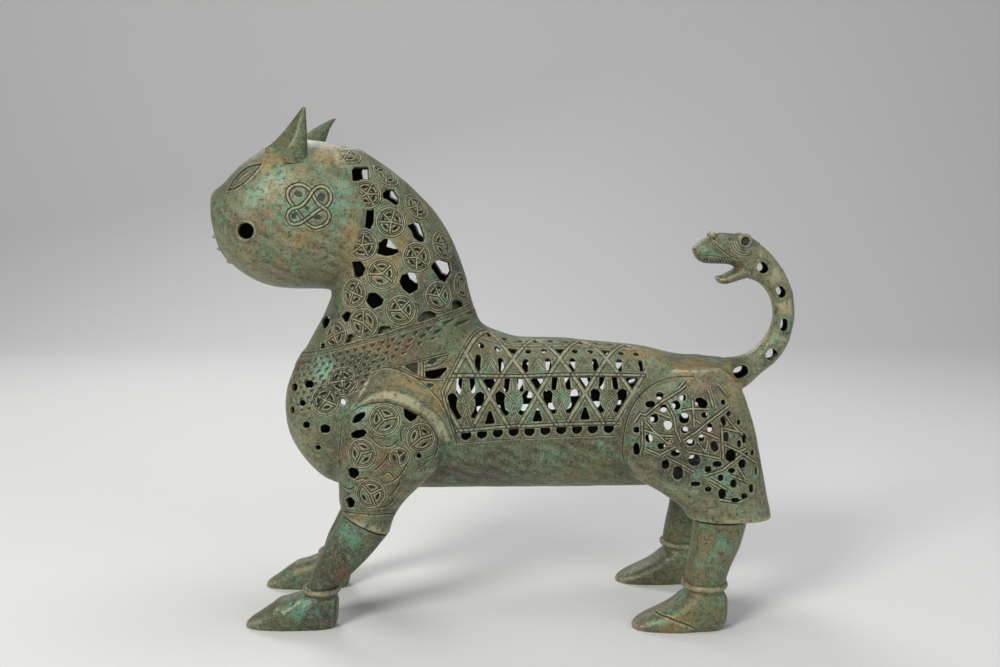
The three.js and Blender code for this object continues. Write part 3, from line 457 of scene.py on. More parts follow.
# Places where the patina is bluer, more golden or redder than elsewhere: x, y and reach
VERDIGRIS = [
    (258, 186, 9, 14), (338, 208, 10, 24), (282, 171, 9, 7), (348, 186, 7, 12), (398, 180, 8, 8),
    (402, 303, 8, 8), (438, 291, 8, 10), (356, 410, 9, 7), (389, 432, 8, 11), (322, 372, 12, 9),
    (520, 402, 16, 12), (482, 384, 12, 12), (680, 408, 9, 12), (725, 482, 14, 12), (776, 336, 5, 14),
    (708, 254, 9, 6), (352, 531, 9, 9), (300, 612, 18, 9), (722, 545, 12, 11), (652, 622, 12, 6),
    (300, 209, 14, 12), (420, 240, 8, 12), (575, 400, 20, 12),
]
OCHRE = [
    (268, 165, 12, 9), (330, 156, 14, 10), (290, 240, 16, 9), (424, 388, 16, 12), (441, 406, 9, 12),
    (352, 235, 7, 18), (392, 275, 14, 12), (700, 368, 28, 8), (736, 386, 9, 10), (783, 308, 6, 10),
    (362, 519, 14, 6), (680, 624, 16, 7), (640, 352, 30, 6), (372, 345, 24, 10),
]
RUST = [
    (366, 384, 10, 12), (390, 347, 18, 8), (337, 196, 7, 4), (622, 441, 7, 16), (720, 442, 10, 12),
    (262, 222, 10, 8), (384, 458, 12, 10), (500, 380, 12, 10), (702, 384, 10, 6), (345, 572, 8, 8),
]
TINTS = {"verdigris": VERDIGRIS, "ochre": OCHRE, "rust": RUST}

# Floor, in metres: its front edge, where it starts to bend, the bend, its top and half width
FLOOR_FRONT = -3.0
FLOOR_BACK = 1.6
FLOOR_BEND = 0.9
FLOOR_STEPS = 12
FLOOR_TOP = 4.0
FLOOR_HALF = 5.0


# Small tools for arrays of points
def smooth_rows(rows, steps):
    """Fair curve through every row of numbers, without overshoot."""
    rows = np.array([list(row) + [0.0] * (RIB_NUMBERS - len(row)) for row in rows], float)
    middle = (rows[:, 0:2] + rows[:, 2:4]) / 2
    gap = np.hypot(*np.diff(middle, axis=0).T) + 1.0
    slope = np.diff(rows, axis=0) / gap[:, None]
    tangent = np.zeros_like(rows)
    tangent[0], tangent[-1] = slope[0], slope[-1]
    first = (2 * gap[1:] + gap[:-1])[:, None]
    second = (gap[1:] + 2 * gap[:-1])[:, None]
    same = slope[:-1] * slope[1:] > 1e-9
    before = np.where(same, slope[:-1], 1.0)
    after = np.where(same, slope[1:], 1.0)
    tangent[1:-1] = np.where(same, (first + second) / (first / before + second / after), 0.0)
    t = (np.arange(steps) / steps)[:, None]
    h00, h10 = 2 * t**3 - 3 * t**2 + 1, t**3 - 2 * t**2 + t
    h01, h11 = -2 * t**3 + 3 * t**2, t**3 - t**2
    out = [
        h00 * rows[i] + h10 * gap[i] * tangent[i] + h01 * rows[i + 1] + h11 * gap[i] * tangent[i + 1]
        for i in range(len(rows) - 1)
    ]
    return np.concatenate(out + [rows[-1:]])


def circle(count):
    turn = 2 * np.pi * np.arange(count) / count
    return np.cos(turn), np.sin(turn)


def ring_points(row, sides, power, y, side):
    """Rounded outline that crosses a form along one rib."""
    ax, az, bx, bz, w, shift = row
    along, across = [np.sign(part) * np.abs(part) ** (2 / power) for part in circle(sides)]
    return np.stack(
        [
            (ax + bx) / 2 + (bx - ax) / 2 * along,
            side * (y + shift) + w * across,
            (az + bz) / 2 + (bz - az) / 2 * along,
        ],
        axis=1,
    )


def outward(points, faces):
    """Turns the faces of a closed mesh to the outside."""
    a, b, c = points[faces].transpose(1, 0, 2)
    return faces if (a * np.cross(b, c)).sum() > 0 else faces[:, ::-1]


def skin_rings(rings):
    """Closed triangle mesh over a list of rings of equal length."""
    sides, last = len(rings[0]), (len(rings) - 1) * len(rings[0])
    points = np.concatenate(rings + [rings[0].mean(0)[None], rings[-1].mean(0)[None]])
    here = np.arange(sides)
    following = (here + 1) % sides
    faces = []
    for start in range(0, last, sides):
        a, b = start + here, start + following
        faces += [np.stack([a, b, b + sides], 1), np.stack([a, b + sides, a + sides], 1)]
    faces.append(np.stack([np.full(sides, len(points) - 2), following, here], 1))
    faces.append(np.stack([np.full(sides, len(points) - 1), last + here, last + following], 1))
    return points, outward(points, np.concatenate(faces))


def band(rings):
    """Closed triangle mesh over a loop of rings of equal length."""
    count, sides = len(rings), len(rings[0])
    here = np.arange(count * sides)
    row, column = here // sides, here % sides
    beside = row * sides + (column + 1) % sides
    ahead = (row + 1) % count * sides
    far_corner = ahead + (column + 1) % sides
    faces = np.concatenate(
        [np.stack([here, ahead + column, far_corner], 1), np.stack([here, far_corner, beside], 1)]
    )
    points = np.concatenate(rings)
    return points, outward(points, faces)


def loft(rows, sides=72, power=2.0, y=0.0, side=-1, steps=6):
    return skin_rings([ring_points(row, sides, power, y, side) for row in smooth_rows(rows, steps)])


def merged(parts):
    starts = np.cumsum([0] + [len(points) for points, _ in parts])
    faces = [part_faces + start for (_, part_faces), start in zip(parts, starts)]
    return np.concatenate([points for points, _ in parts]), np.concatenate(faces)


def unit(vectors):
    return vectors / np.maximum(np.linalg.norm(vectors, axis=1), 1e-12)[:, None]


def normals_of(points, faces):
    a, b, c = points[faces[:, 0]], points[faces[:, 1]], points[faces[:, 2]]
    corners, count = faces.ravel(), len(points)
    total = [np.bincount(corners, np.repeat(part, 3), count) for part in np.cross(b - a, c - a).T]
    return unit(np.stack(total, 1))


def sides_of(faces):
    return np.concatenate([faces[:, [0, 1]], faces[:, [1, 2]], faces[:, [2, 0]]])


def edge_table(faces, count):
    """Every edge once, and the three edges of each face."""
    pairs = sides_of(faces).astype(np.int64)
    keys, inverse = np.unique(pairs.min(1) * count + pairs.max(1), return_inverse=True)
    return np.stack([keys // count, keys % count], 1), inverse.reshape(3, -1).T


def neighbour_mean(values, edges):
    a, b = edges.T
    count = len(values)
    number = np.bincount(a, minlength=count) + np.bincount(b, minlength=count)
    total = [np.bincount(a, v[b], count) + np.bincount(b, v[a], count) for v in values.T]
    return np.stack(total, 1) / np.maximum(number, 1)[:, None]


def proudness(points, faces, normals):
    """How far every point stands out from the middle of its neighbours."""
    edges, _ = edge_table(faces, len(points))
    return ((points - neighbour_mean(points, edges)) * normals).sum(1)


def remeshed(parts, voxel, smooth, fill):
    """One skin over several overlapping forms, smoothed, with its inside corners filled."""
    points, faces = merged(parts)
    mesh = bpy.data.meshes.new("form")
    mesh.from_pydata(points.tolist(), [], faces.tolist())
    form = bpy.data.objects.new("form", mesh)
    bpy.context.scene.collection.objects.link(form)
    remesh = form.modifiers.new("remesh", "REMESH")
    remesh.mode = "VOXEL"
    remesh.voxel_size = voxel
    result = form.evaluated_get(bpy.context.evaluated_depsgraph_get()).to_mesh()
    result.calc_loop_triangles()
    points = np.zeros(len(result.vertices) * 3)
    result.vertices.foreach_get("co", points)
    points = points.reshape(-1, 3)
    faces = np.zeros(len(result.loop_triangles) * 3, np.int64)
    result.loop_triangles.foreach_get("vertices", faces)
    faces = faces.reshape(-1, 3)
    bpy.data.objects.remove(form)
    bpy.data.meshes.remove(mesh)
    edges, _ = edge_table(faces, len(points))
    for _ in range(smooth):
        for share in SMOOTH_SHARES:
            points = points + share * (neighbour_mean(points, edges) - points)
    for _ in range(fill):
        normal = normals_of(points, faces)
        push = ((neighbour_mean(points, edges) - points) * normal).sum(1)
        points = points + FILL_SHARE * np.maximum(push - 0.002 * voxel, 0)[:, None] * normal
    return points, faces


# Triangles that a face becomes, by which of its edges are split. Each line turns through its
# codes; corners 3, 4 and 5 are the middles of the edges that follow corners 0, 1 and 2
SPLITS = [
    ((0,), [[0, 1, 2]]),
    ((7,), [[0, 3, 5], [3, 1, 4], [5, 4, 2], [3, 4, 5]]),
    ((1, 2, 4), [[0, 3, 2], [3, 1, 2]]),
    ((3, 6, 5), [[3, 1, 4], [0, 3, 4], [0, 4, 2]]),
]


def turned(parts, turn):
    return np.concatenate([np.roll(part, -turn, axis=1) for part in parts], 1)


def refine(points, faces, marked):
    """Splits the marked triangles in four and their neighbours to fit, on a smooth surface."""
    normal = normals_of(points, faces)
    edges, of = edge_table(faces, len(points))
    split = np.zeros(len(edges), bool)
    split[of[marked].ravel()] = True
    a, b = edges[split].T
    middle = (points[a] + points[b]) / 2
    on_a = middle - ((middle - points[a]) * normal[a]).sum(1)[:, None] * normal[a]
    on_b = middle - ((middle - points[b]) * normal[b]).sum(1)[:, None] * normal[b]
    middle = 0.3 * middle + 0.35 * (on_a + on_b)
    number = np.full(len(edges), -1)
    number[split] = len(points) + np.arange(split.sum())
    m = number[of]
    code = (m >= 0) @ [1, 2, 4]
    out = []
    for codes, triangles in SPLITS:
        for turn, value in enumerate(codes):
            corners = turned((faces[code == value], m[code == value]), turn)
            out += [corners[:, triangle] for triangle in triangles]
    return np.concatenate([points, middle]), np.concatenate(out)


def cut(values, faces, keep):
    """Keeps the part of a mesh where keep is above zero. Every column of values is carried."""
    keep = np.where(np.abs(keep) < 1e-6, 1e-6, keep)
    kept = keep > 0
    count = kept[faces].sum(1)
    out = [faces[count == 3]]
    crossed = faces[(count > 0) & (count < 3)]
    edges, of = edge_table(crossed, len(values))
    over = kept[edges[:, 0]] != kept[edges[:, 1]]
    a, b = edges[over].T
    share = (keep[a] / (keep[a] - keep[b]))[:, None]
    made = values[a] + share * (values[b] - values[a])
    number = np.full(len(edges), -1)
    number[over] = len(values) + np.arange(over.sum())
    for turn in range(3):
        corners = turned((crossed, number[of]), turn)
        first, second, third = np.roll(kept[crossed], -turn, axis=1).T
        one, two = corners[first & ~second & ~third], corners[~first & second & third]
        out += [one[:, [0, 3, 5]], two[:, [1, 2, 5]], two[:, [1, 5, 3]]]
    return compact(np.concatenate([values, made]), np.concatenate(out))


def compact(values, faces):
    """Drops the points that no face uses."""
    used = np.zeros(len(values), bool)
    used[faces.ravel()] = True
    return values[used], (np.cumsum(used) - 1)[faces]


def without_slivers(values, faces, limit):
    """Draws the ends of very short edges together."""
    for _ in range(2):
        edges, _ = edge_table(faces, len(values))
        length = np.linalg.norm(values[edges[:, 0], :3] - values[edges[:, 1], :3], axis=1)
        short = edges[length < limit]
        if not len(short):
            break
        target = np.arange(len(values))
        taken = np.zeros(len(values), bool)
        for low, high in short[np.argsort(length[length < limit])]:
            if not taken[low] and not taken[high]:
                target[low] = high
                taken[low] = taken[high] = True
        faces = target[faces]
        faces = faces[(np.diff(np.sort(faces, axis=1), axis=1) > 0).all(1)]
        _, first = np.unique(np.sort(faces, axis=1), axis=0, return_index=True)
        values, faces = compact(values, faces[np.sort(first)])
    return values, faces


# Distances in the plane
def segment_place(p, a, b):
    """How far along a segment the nearest point lies, from 0 to 1, and its distance."""
    a, b = np.array(a, float), np.array(b, float)
    along = b - a
    t = np.clip(((p - a) @ along) / (along @ along), 0, 1)
    return t, np.linalg.norm(p - (a + t[:, None] * along), axis=1)


def path_distance(p, path):
    return np.min([segment_place(p, a, b)[1] for a, b in zip(path, path[1:])], axis=0)


def open_distance(p, path):
    """Distance to a path, far off beyond its two ends, so that lines beside it stay open."""
    reach = path_distance(p, path)
    path = np.array(path, float)
    for end, inner in ((path[0], path[1]), (path[-1], path[-2])):
        beyond = (p - end) @ (end - inner) > 0
        near = np.linalg.norm(p - end, axis=1) < reach + 1e-6
        reach = np.where(beyond & near, FAR, reach)
    return reach


def capsule(p, a, b, radius_a, radius_b):
    t, reach = segment_place(p, a, b)
    return reach - (radius_a + (radius_b - radius_a) * t)


def polygon_distance(p, corners, radius=0.0):
    """Signed distance to a polygon with corners rounded outward by radius, below zero inside."""
    closed = list(corners) + [corners[0]]
    reach = path_distance(p, closed)
    inside = np.zeros(len(p), bool)
    for (ax, ay), (bx, by) in zip(closed, closed[1:]):
        if ay != by:
            crosses = (ay > p[:, 1]) != (by > p[:, 1])
            inside ^= crosses & (p[:, 0] < ax + (p[:, 1] - ay) / (by - ay) * (bx - ax))
    return np.where(inside, -reach, reach) - radius


def blob(p, hole):
    """Signed distance, in pixels, to a rounded hole."""
    x, y, width, height, tilt = hole
    turn = math.radians(tilt)
    dx, dy = p[:, 0] - x, p[:, 1] - y
    u = (dx * math.cos(turn) + dy * math.sin(turn)) / (width / 2)
    v = (-dx * math.sin(turn) + dy * math.cos(turn)) / (height / 2)
    reach = (np.abs(u) ** BLOB_POWER + np.abs(v) ** BLOB_POWER) ** (1 / BLOB_POWER)
    return (reach - 1) * min(width, height) / 2


def shaped(p, corners):
    """Signed distance, in pixels, to a hole with rounded corners."""
    corners = np.array(corners, float)
    middle = corners.mean(0)
    size = np.linalg.norm(corners - middle, axis=1).mean()
    inner = middle + (corners - middle) * (1 - CORNER_RADIUS / size)
    return polygon_distance(p, [tuple(corner) for corner in inner], CORNER_RADIUS)


def faired(path, closed=False):
    """Cuts the corners of a path until it bends smoothly."""
    path = np.array(path, float)
    for _ in range(2):
        after = np.roll(path, -1, axis=0)
        made = np.stack([0.75 * path + 0.25 * after, 0.25 * path + 0.75 * after], 1).reshape(-1, 2)
        path = made if closed else np.concatenate([path[:1], made[:-2], path[-1:]])
    return [tuple(place) for place in (np.concatenate([path, path[:1]]) if closed else path)]


def curve_distance(p, path):
    return path_distance(p, faired(path))


def nearest(distance, p, shapes):
    """Least distance to shapes drawn in the photograph, in millimetres."""
    return np.min([distance(p, shape) for shape in shapes], axis=0) * PX


def groove(distance, half_width, depth):
    return depth * np.clip(1 - (distance / half_width) ** 2, 0, 1)


def swell(distance, width):
    """Low ridge along the line where the distance is zero."""
    return np.exp(-((distance / width) ** 2))


# Between space and the photograph
def photo_of(points):
    near = points * [1, 0, 1] - np.abs(points) * [0, 1, 0] - CAMERA
    depth = near @ FORWARD
    x = FRAME_WIDTH / 2 + FOCAL * (near @ RIGHT) / depth
    return np.stack([x, FRAME_HEIGHT / 2 - FOCAL * (near @ UP) / depth], 1)


def ray_to(x, y):
    a = (x - FRAME_WIDTH / 2) / FOCAL
    b = (FRAME_HEIGHT / 2 - y) / FOCAL
    return Vector(FORWARD + a * RIGHT + b * UP).normalized()


def seen_in(photo, box):
    left, top, right, bottom = box
    x, y = photo.T
    return (x > left) & (x < right) & (y > top) & (y < bottom)


def seam_frame(points):
    """Along the seam, and square to it towards the lid."""
    side = points[:, [0, 2]] - SEAM_FRONT
    return side @ SEAM_ALONG, side @ SEAM_SQUARE


def trunk_section(x):
    rows = np.array([row[:5] for row in TRUNK], float)
    bottom = np.interp(x, rows[:, 0], rows[:, 1])
    top = np.interp(x, rows[:, 2], rows[:, 3])
    width = np.interp(x, (rows[:, 0] + rows[:, 2]) / 2, rows[:, 4])
    return (bottom + top) / 2, (top - bottom) / 2, width


def barrel_place(points):
    """Place along the barrel, and round it above the level of its pattern's crossings."""
    middle, height, width = trunk_section(np.maximum(points[:, 0], BARREL_EVEN_X))
    rise = (points[:, 2] - middle) / height
    u = np.abs(rise) ** (TRUNK_POWER / 2)
    v = (np.abs(points[:, 1]) / width) ** (TRUNK_POWER / 2)
    angle = np.arctan2(u, v)
    steps = np.linspace(0, np.pi / 2, 400)
    path = np.stack(
        [
            BARREL_WIDTH * np.cos(steps) ** (2 / TRUNK_POWER),
            BARREL_HEIGHT * np.sin(steps) ** (2 / TRUNK_POWER),
        ],
        1,
    )
    length = np.concatenate([[0], np.cumsum(np.linalg.norm(np.diff(path, axis=0), axis=1))])
    around = np.sign(rise) * np.interp(angle, steps, length)
    around = around * (height + width) / (BARREL_WIDTH + BARREL_HEIGHT)
    return np.stack([points[:, 0], around - (BARREL_LEVEL + BARREL_CLIMB * points[:, 0])], 1)


# Ornament. Each zone gives the holes as a signed distance in millimetres, above zero where
# metal stays, the distance to the nearest engraved line, and how deep the surface is cut.
# Lines are given as distance, half width and depth
class Ornament:
    def __init__(self, count):
        self.hole = np.full(count, FAR)
        self.near = np.full(count, FAR)
        self.deep = np.zeros(count)
        self.rise = np.zeros(count)
        # Paler raised ridges: partly wear, partly painted highlight
        self.ridge_sheen_and_wear = np.zeros(count)

    def pierce(self, at, distance):
        self.hole[at] = np.minimum(self.hole[at], distance)

    def approach(self, at, distance):
        """Asks for fine triangles near a line."""
        self.near[at] = np.minimum(self.near[at], distance)

    def line(self, at, distance, half_width, depth):
        self.approach(at, np.abs(distance))
        self.deep[at] = np.maximum(self.deep[at], groove(distance, half_width, depth))

    def raise_to(self, at, height):
        self.rise[at] = np.maximum(self.rise[at], height)

    # Paler raised lines: partly wear, partly a painted highlight where they catch light
    def add_ridge_sheen_and_wear(self, at, amount):
        self.ridge_sheen_and_wear[at] = np.maximum(self.ridge_sheen_and_wear[at], np.clip(amount, 0, 1))

    def dip(self, at, distance, depth):
        """Hollow with its edge where the distance is zero."""
        self.approach(at, np.abs(distance))
        self.deep[at] = np.maximum(self.deep[at], depth * np.clip(0.25 - distance / 1.1, 0, 1))


def roundel(work, points, centre, normal, radius, spokes, allowed):
    """Raised double ring round leaves that spokes keep apart, each with a drilled eye."""
    offset = points - centre
    reach = np.linalg.norm(offset, axis=1)
    at = np.nonzero((reach < radius + 2.5) & allowed)[0]
    if not len(at):
        return
    offset, reach = offset[at], reach[at]
    axis_v = UP - (UP @ normal) * normal
    axis_v /= np.linalg.norm(axis_v)
    axis_u = np.cross(axis_v, normal)
    axis_u *= np.sign(axis_u[0])
    u, v = offset @ axis_u, offset @ axis_v
    inner = radius - RING_BAND
    work.raise_to(at, 0.5 * np.clip((radius + RING_LIP - reach) / 1.1, 0, 1))
    work.line(at, reach - radius, 0.6, 0.7)
    work.line(at, reach - (radius - RING_STEP), 0.6, 0.8)
    ridge = np.minimum(np.abs(reach - (radius - RING_STEP / 2)), np.abs(reach - inner))
    work.add_ridge_sheen_and_wear(at, 1.1 - np.minimum(ridge, np.abs(reach - (radius + RING_LIP)) + 0.3) / 0.7)
    turns = np.sort(np.radians(np.array(spokes, float)) % (2 * np.pi))
    beside = np.full(len(at), FAR)
    for turn in turns:
        ahead = u * math.cos(turn) + v * math.sin(turn)
        aside = np.abs(v * math.cos(turn) - u * math.sin(turn))
        beside = np.minimum(beside, np.where(ahead > 0, aside, reach))
    inside = np.minimum(beside - 0.55, inner - reach)
    within = inside > -0.4
    work.line(at[within], (inside - 0.6)[within], 0.65, 0.95)
    work.add_ridge_sheen_and_wear(at, 1.1 - (beside + np.where(reach < inner, 0, 9)) / 0.7)
    work.add_ridge_sheen_and_wear(at[within], (0.8 - np.abs(inside - 1.7) / 0.6)[within])
    for turn, after in zip(turns, np.roll(turns, -1)):
        gap = (after - turn) % (2 * np.pi)
        middle = turn + gap / 2
        far = inner * (0.62 if gap > 1.0 else 0.70)
        ahead = u * math.cos(middle) + v * math.sin(middle) - far
        aside = v * math.cos(middle) - u * math.sin(middle)
        eye = np.hypot(aside / min(0.24 * gap * inner, 3.0), ahead / 1.25) - 1
        leaf = (eye < 0.6) & (inside > 0.6)
        work.dip(at[leaf], eye[leaf] * 1.2, 2.0)


def barrel_zone(work, points):
    x, v = barrel_place(points).T
    left = np.interp(v, *BARREL_LEFT)
    haunch = np.hypot(points[:, 0] - BARREL_BACK[0], points[:, 2] - BARREL_BACK[1])
    edge = np.minimum(np.minimum(x - left, haunch - BARREL_BACK[2]), BARREL_END - x)
    at = np.nonzero((edge > -3) & (v > BARREL_LOW) & (seam_frame(points)[1] < -12))[0]
    x, v, left, edge = x[at], v[at], left[at], edge[at]
    column = np.abs((x - BARREL_START + BARREL_HALF) % BARREL_PERIOD - BARREL_HALF)
    p = np.stack([column, v], 1)
    straps = np.min([path_distance(p, ends) for ends in BARREL_STRAPS], axis=0)
    levels = np.min([np.abs(v - level) for level in BARREL_LEVELS], axis=0)
    beside = np.minimum(np.abs(column - BARREL_THIRD), np.abs(column - BARREL_HALF))
    holes = [polygon_distance(p, corners, rounding) for corners, rounding in BARREL_HOLES]
    holes += [capsule(p, *slot) for slot in BARREL_SLOTS]
    holes += [np.hypot(column - place, v - level) - radius for place, level, radius in BARREL_DRILLED]
    holes.append(np.maximum(np.hypot(beside, v + 31.0) - 4.5, v + 28.6))
    guard = np.minimum.reduce([straps - 2.3, levels - 2.0, edge - 2.2])
    work.pierce(at, np.maximum(np.min(holes, axis=0), -guard))
    inside = edge > 0
    flat, low = inside & (v < 66), inside & (v < 58)
    work.line(at[flat], (straps - 1.9)[flat], 0.75, 0.75)
    work.add_ridge_sheen_and_wear(at[flat], (1.0 - straps / 1.5)[flat])
    work.add_ridge_sheen_and_wear(at[low], (0.9 - levels / 1.2)[low])
    work.line(at[low], (levels - 1.5)[low], 0.75, 0.8)
    middle = inside & (v > -26) & (v < 38)
    q = p[middle]
    fine = [path_distance(q, ends) for ends in BARREL_LINES]
    fine += [np.abs(path_distance(q, ends) - 0.9) for ends in BARREL_LEAVES]
    work.line(at[middle], np.min(fine, axis=0), 0.6, 0.6)
    sides = (v > -38) & (v < 62)
    for inset in (0.4, -2.2):
        work.line(at[sides], (x - left)[sides] - inset, 0.7, 0.8)
    foot = inside & (v < -30)
    work.line(at[foot], v[foot] + 37.6, 0.6, 0.5)


def haunch_zone(work, photo, facing):
    reach = np.hypot(photo[:, 0] - HAUNCH_CENTRE[0], photo[:, 1] - HAUNCH_CENTRE[1])
    at = np.nonzero(facing & (reach < HAUNCH_RADIUS + 6) & seen_in(photo, HAUNCH_BOX))[0]
    p, reach = photo[at], reach[at]
    work.line(at, curve_distance(p, HAUNCH_ARC) * PX, 0.75, 0.85)
    inner = reach < HAUNCH_RADIUS - 1
    holes = nearest(blob, p, HAUNCH_HOLES)
    work.pierce(at[inner], holes[inner])
    straps = nearest(open_distance, p, HAUNCH_STRAPS)
    line = inner & (reach < HAUNCH_RADIUS - 5)
    work.line(at[line], (straps - 1.3)[line], 0.65, 0.9)
    work.raise_to(at[line], 0.5 * np.clip(1.7 - straps, 0, 1)[line])
    work.add_ridge_sheen_and_wear(at[line], (1.0 - straps / 1.1)[line])


def shoulder_zone(work, points, photo, facing):
    at = np.nonzero(facing & seen_in(photo, SHOULDER_BOX) & (points[:, 2] < 262))[0]
    p = photo[at]
    panel = polygon_distance(p, SHOULDER_PANEL) * PX
    ridge = polygon_distance(p, CRESCENT) * PX
    shelf = polygon_distance(p, SHOULDER_EDGE + CRESCENT[:10][::-1]) * PX
    above = p[:, 1] < 470
    work.raise_to(at[above], 2.1 * np.clip(0.35 - ridge / 3.6, 0, 1)[above])
    work.add_ridge_sheen_and_wear(at[above], (-ridge / 2.0)[above] * 0.75)
    work.approach(at[above], np.maximum(np.abs(ridge) - 1.5, 0)[above])
    work.raise_to(at[above], 0.9 * np.clip(0.4 - shelf / 2.0, 0, 1)[above])
    work.line(at[above], curve_distance(p[above], SHOULDER_EDGE) * PX, 0.8, 0.7)
    work.line(at, path_distance(p, CUFF_LINE) * PX, 0.8, 0.8)
    work.line(at[above], (panel + 0.6)[above], 0.7, 0.7)
    work.line(at, nearest(curve_distance, p, SHOULDER_LEAVES), 0.8, 0.9)
    inside = panel < -0.8
    holes = np.maximum(nearest(shaped, p, SHOULDER_HOLES), panel + 1.0)
    work.pierce(at[inside], holes[inside])


def collar_zone(work, points):
    along, across = seam_frame(points)
    low = np.interp(along, *COLLAR_DEPTH)
    at = np.nonzero((across < -0.2) & (across > -low - 4) & (along > -12) & (along < 175))[0]
    a, b, low = along[at], -across[at], low[at]
    work.line(at, b - 2.4, 0.6, 0.6)
    row = np.floor((b - COLLAR_START) / COLLAR_ROW)
    fine = (b > COLLAR_START) & (b < low - 1.5)
    girth = a + 0.9 * np.abs(points[at, 1]) + 0.7 * np.sin(1.9 * row)
    u = ((girth + (row % 2) * (COLLAR_PITCH / 2)) % COLLAR_PITCH) - COLLAR_PITCH / 2
    lean = ((b - COLLAR_START) % COLLAR_ROW) - COLLAR_ROW / 2 + 0.35 * u
    wedge = np.maximum(np.abs(lean) / (1.25 * np.clip(1.1 - 0.28 * u, 0.2, 2)), np.abs(u) / 2.3) - 1
    work.dip(at[fine], wedge[fine] * 1.1, 1.0)
    ridge = np.hypot(u + 0.6, lean - 1.9)
    work.raise_to(at[fine], 0.5 * np.clip(1.6 - ridge, 0, 1)[fine])
    work.add_ridge_sheen_and_wear(at[fine], (0.8 - ridge / 1.4)[fine])


def panel_zone(work, photo, facing):
    at = np.nonzero(facing & (polygon_distance(photo, PANEL) < 4))[0]
    p = photo[at]
    work.line(at, nearest(curve_distance, p, PANEL_LINES), 0.65, 0.9)
    work.pierce(at, shaped(p, PANEL_HOLE) * PX)
    for corners in PANEL_DIPS:
        work.dip(at, shaped(p, corners) * PX, 1.6)


def knot_zone(work, at, p):
    """Two loops laced over and under each other, with dips between them."""
    under, over = [path_distance(p, faired(loop, True)) * PX for loop in KNOT_LOOPS]
    strap = np.minimum(under, over)
    hidden = (over < 2.2) & ((p[:, 1] < KNOT_CROSSING[1]) == (p[:, 0] > KNOT_CROSSING[0]))
    covered = (under < 2.2) & ~hidden
    first = np.where(hidden, 9.0, np.abs(under - 1.6))
    second = np.where(covered, 9.0, np.abs(over - 1.6))
    work.line(at, np.minimum(first, second), 0.7, 0.95)
    work.raise_to(at, 0.55 * np.clip(1.9 - strap, 0, 1))
    work.add_ridge_sheen_and_wear(at, 0.9 - strap / 1.2)
    ring = np.hypot(p[:, 0] - KNOT_RING[0], p[:, 1] - KNOT_RING[1]) * PX
    work.line(at, ring - 1.7, 0.55, 0.7)
    for mark in KNOT_DIPS:
        work.dip(at, np.maximum(blob(p, mark) * PX, 1.9 - strap), 0.8)


def head_zone(work, points, photo, facing):
    at = np.nonzero(facing & seen_in(photo, HEAD_BOX) & (points[:, 2] > 285))[0]
    p = photo[at]
    eye = nearest(curve_distance, p, EYE_LINES)
    almond = polygon_distance(p, EYE_LINES[0] + EYE_LINES[1][::-1][1:-1]) * PX
    work.line(at, eye, 1.0, 1.2)
    work.raise_to(at, 0.7 * np.clip(1.6 - eye, 0, 1))
    work.add_ridge_sheen_and_wear(at, 0.9 - np.abs(almond - 1.3) / 0.8)
    work.raise_to(at, 0.8 * np.clip(-(almond + 3.0) / 2.0, 0, 1))
    hole = (np.hypot(p[:, 0] - MUZZLE_HOLE[0], p[:, 1] - MUZZLE_HOLE[1]) - MUZZLE_HOLE[2]) * PX
    work.pierce(at, hole)
    work.raise_to(at, 0.6 * swell(hole - 1.2, 1.2))
    close = np.hypot(p[:, 0] - KNOT_CENTRE[0], p[:, 1] - KNOT_CENTRE[1]) < KNOT_REACH
    if close.any():
        knot_zone(work, at[close], p[close])
    front = np.nonzero((points[:, 0] < -225) & (np.abs(points[:, 1]) < 22) & (points[:, 2] > 300))[0]
    y, z = points[front, 1], points[front, 2]
    level, half, tall = MOUTH
    lips = (np.hypot(y / half, (z - level) / tall) - 1) * tall
    work.dip(front, lips, 2.4)
    work.raise_to(front, 0.8 * swell(lips - 1.6, 1.3))
    level, half, tall = NOSE
    work.raise_to(front, 1.2 * np.clip(1 - np.hypot(y / half, (z - level) / tall), 0, 1))
    level, aside, half, tall = NOSTRIL
    work.dip(front, np.hypot((np.abs(y) - aside) / half, (z - level) / tall) - 1, 1.2)


def cast_waves(points):
    """Slow unevenness of a surface finished by hand."""
    x, y, z = points.T
    slow = np.sin(x / 9.1 + 1.3 * np.sin(z / 13.7)) * np.sin(z / 11.3 + 1.1 * np.sin(y / 10.9))
    quick = np.sin(x / 4.3 + z / 5.1) * np.sin(z / 3.9 - y / 4.7 + np.sin(x / 7.7))
    return 0.24 * slow + 0.1 * quick


def neck_zone(work, points, photo, facing, across, behind, centres):
    at = np.nonzero((across > 1) & (behind > -4) & seen_in(photo, NECK_BOX) & facing)[0]
    holes = nearest(shaped, photo[at], NECK_HOLES)
    clear = np.full(len(at), FAR)
    for centre, _, radius, _, where in centres:
        if where == "neck":
            reach = np.linalg.norm(points[at] - centre, axis=1)
            clear = np.minimum(clear, np.where(behind[at] > 0, reach - radius - 0.7, FAR))
    guard = np.minimum.reduce([clear, across[at] - 1.4, 1.6 * np.abs(points[at, 1]) - 20])
    work.pierce(at, np.maximum(holes, -guard))
    lid = np.nonzero(across > 0)[0]
    work.line(lid, across[lid] - 2.6, 0.6, 0.6)


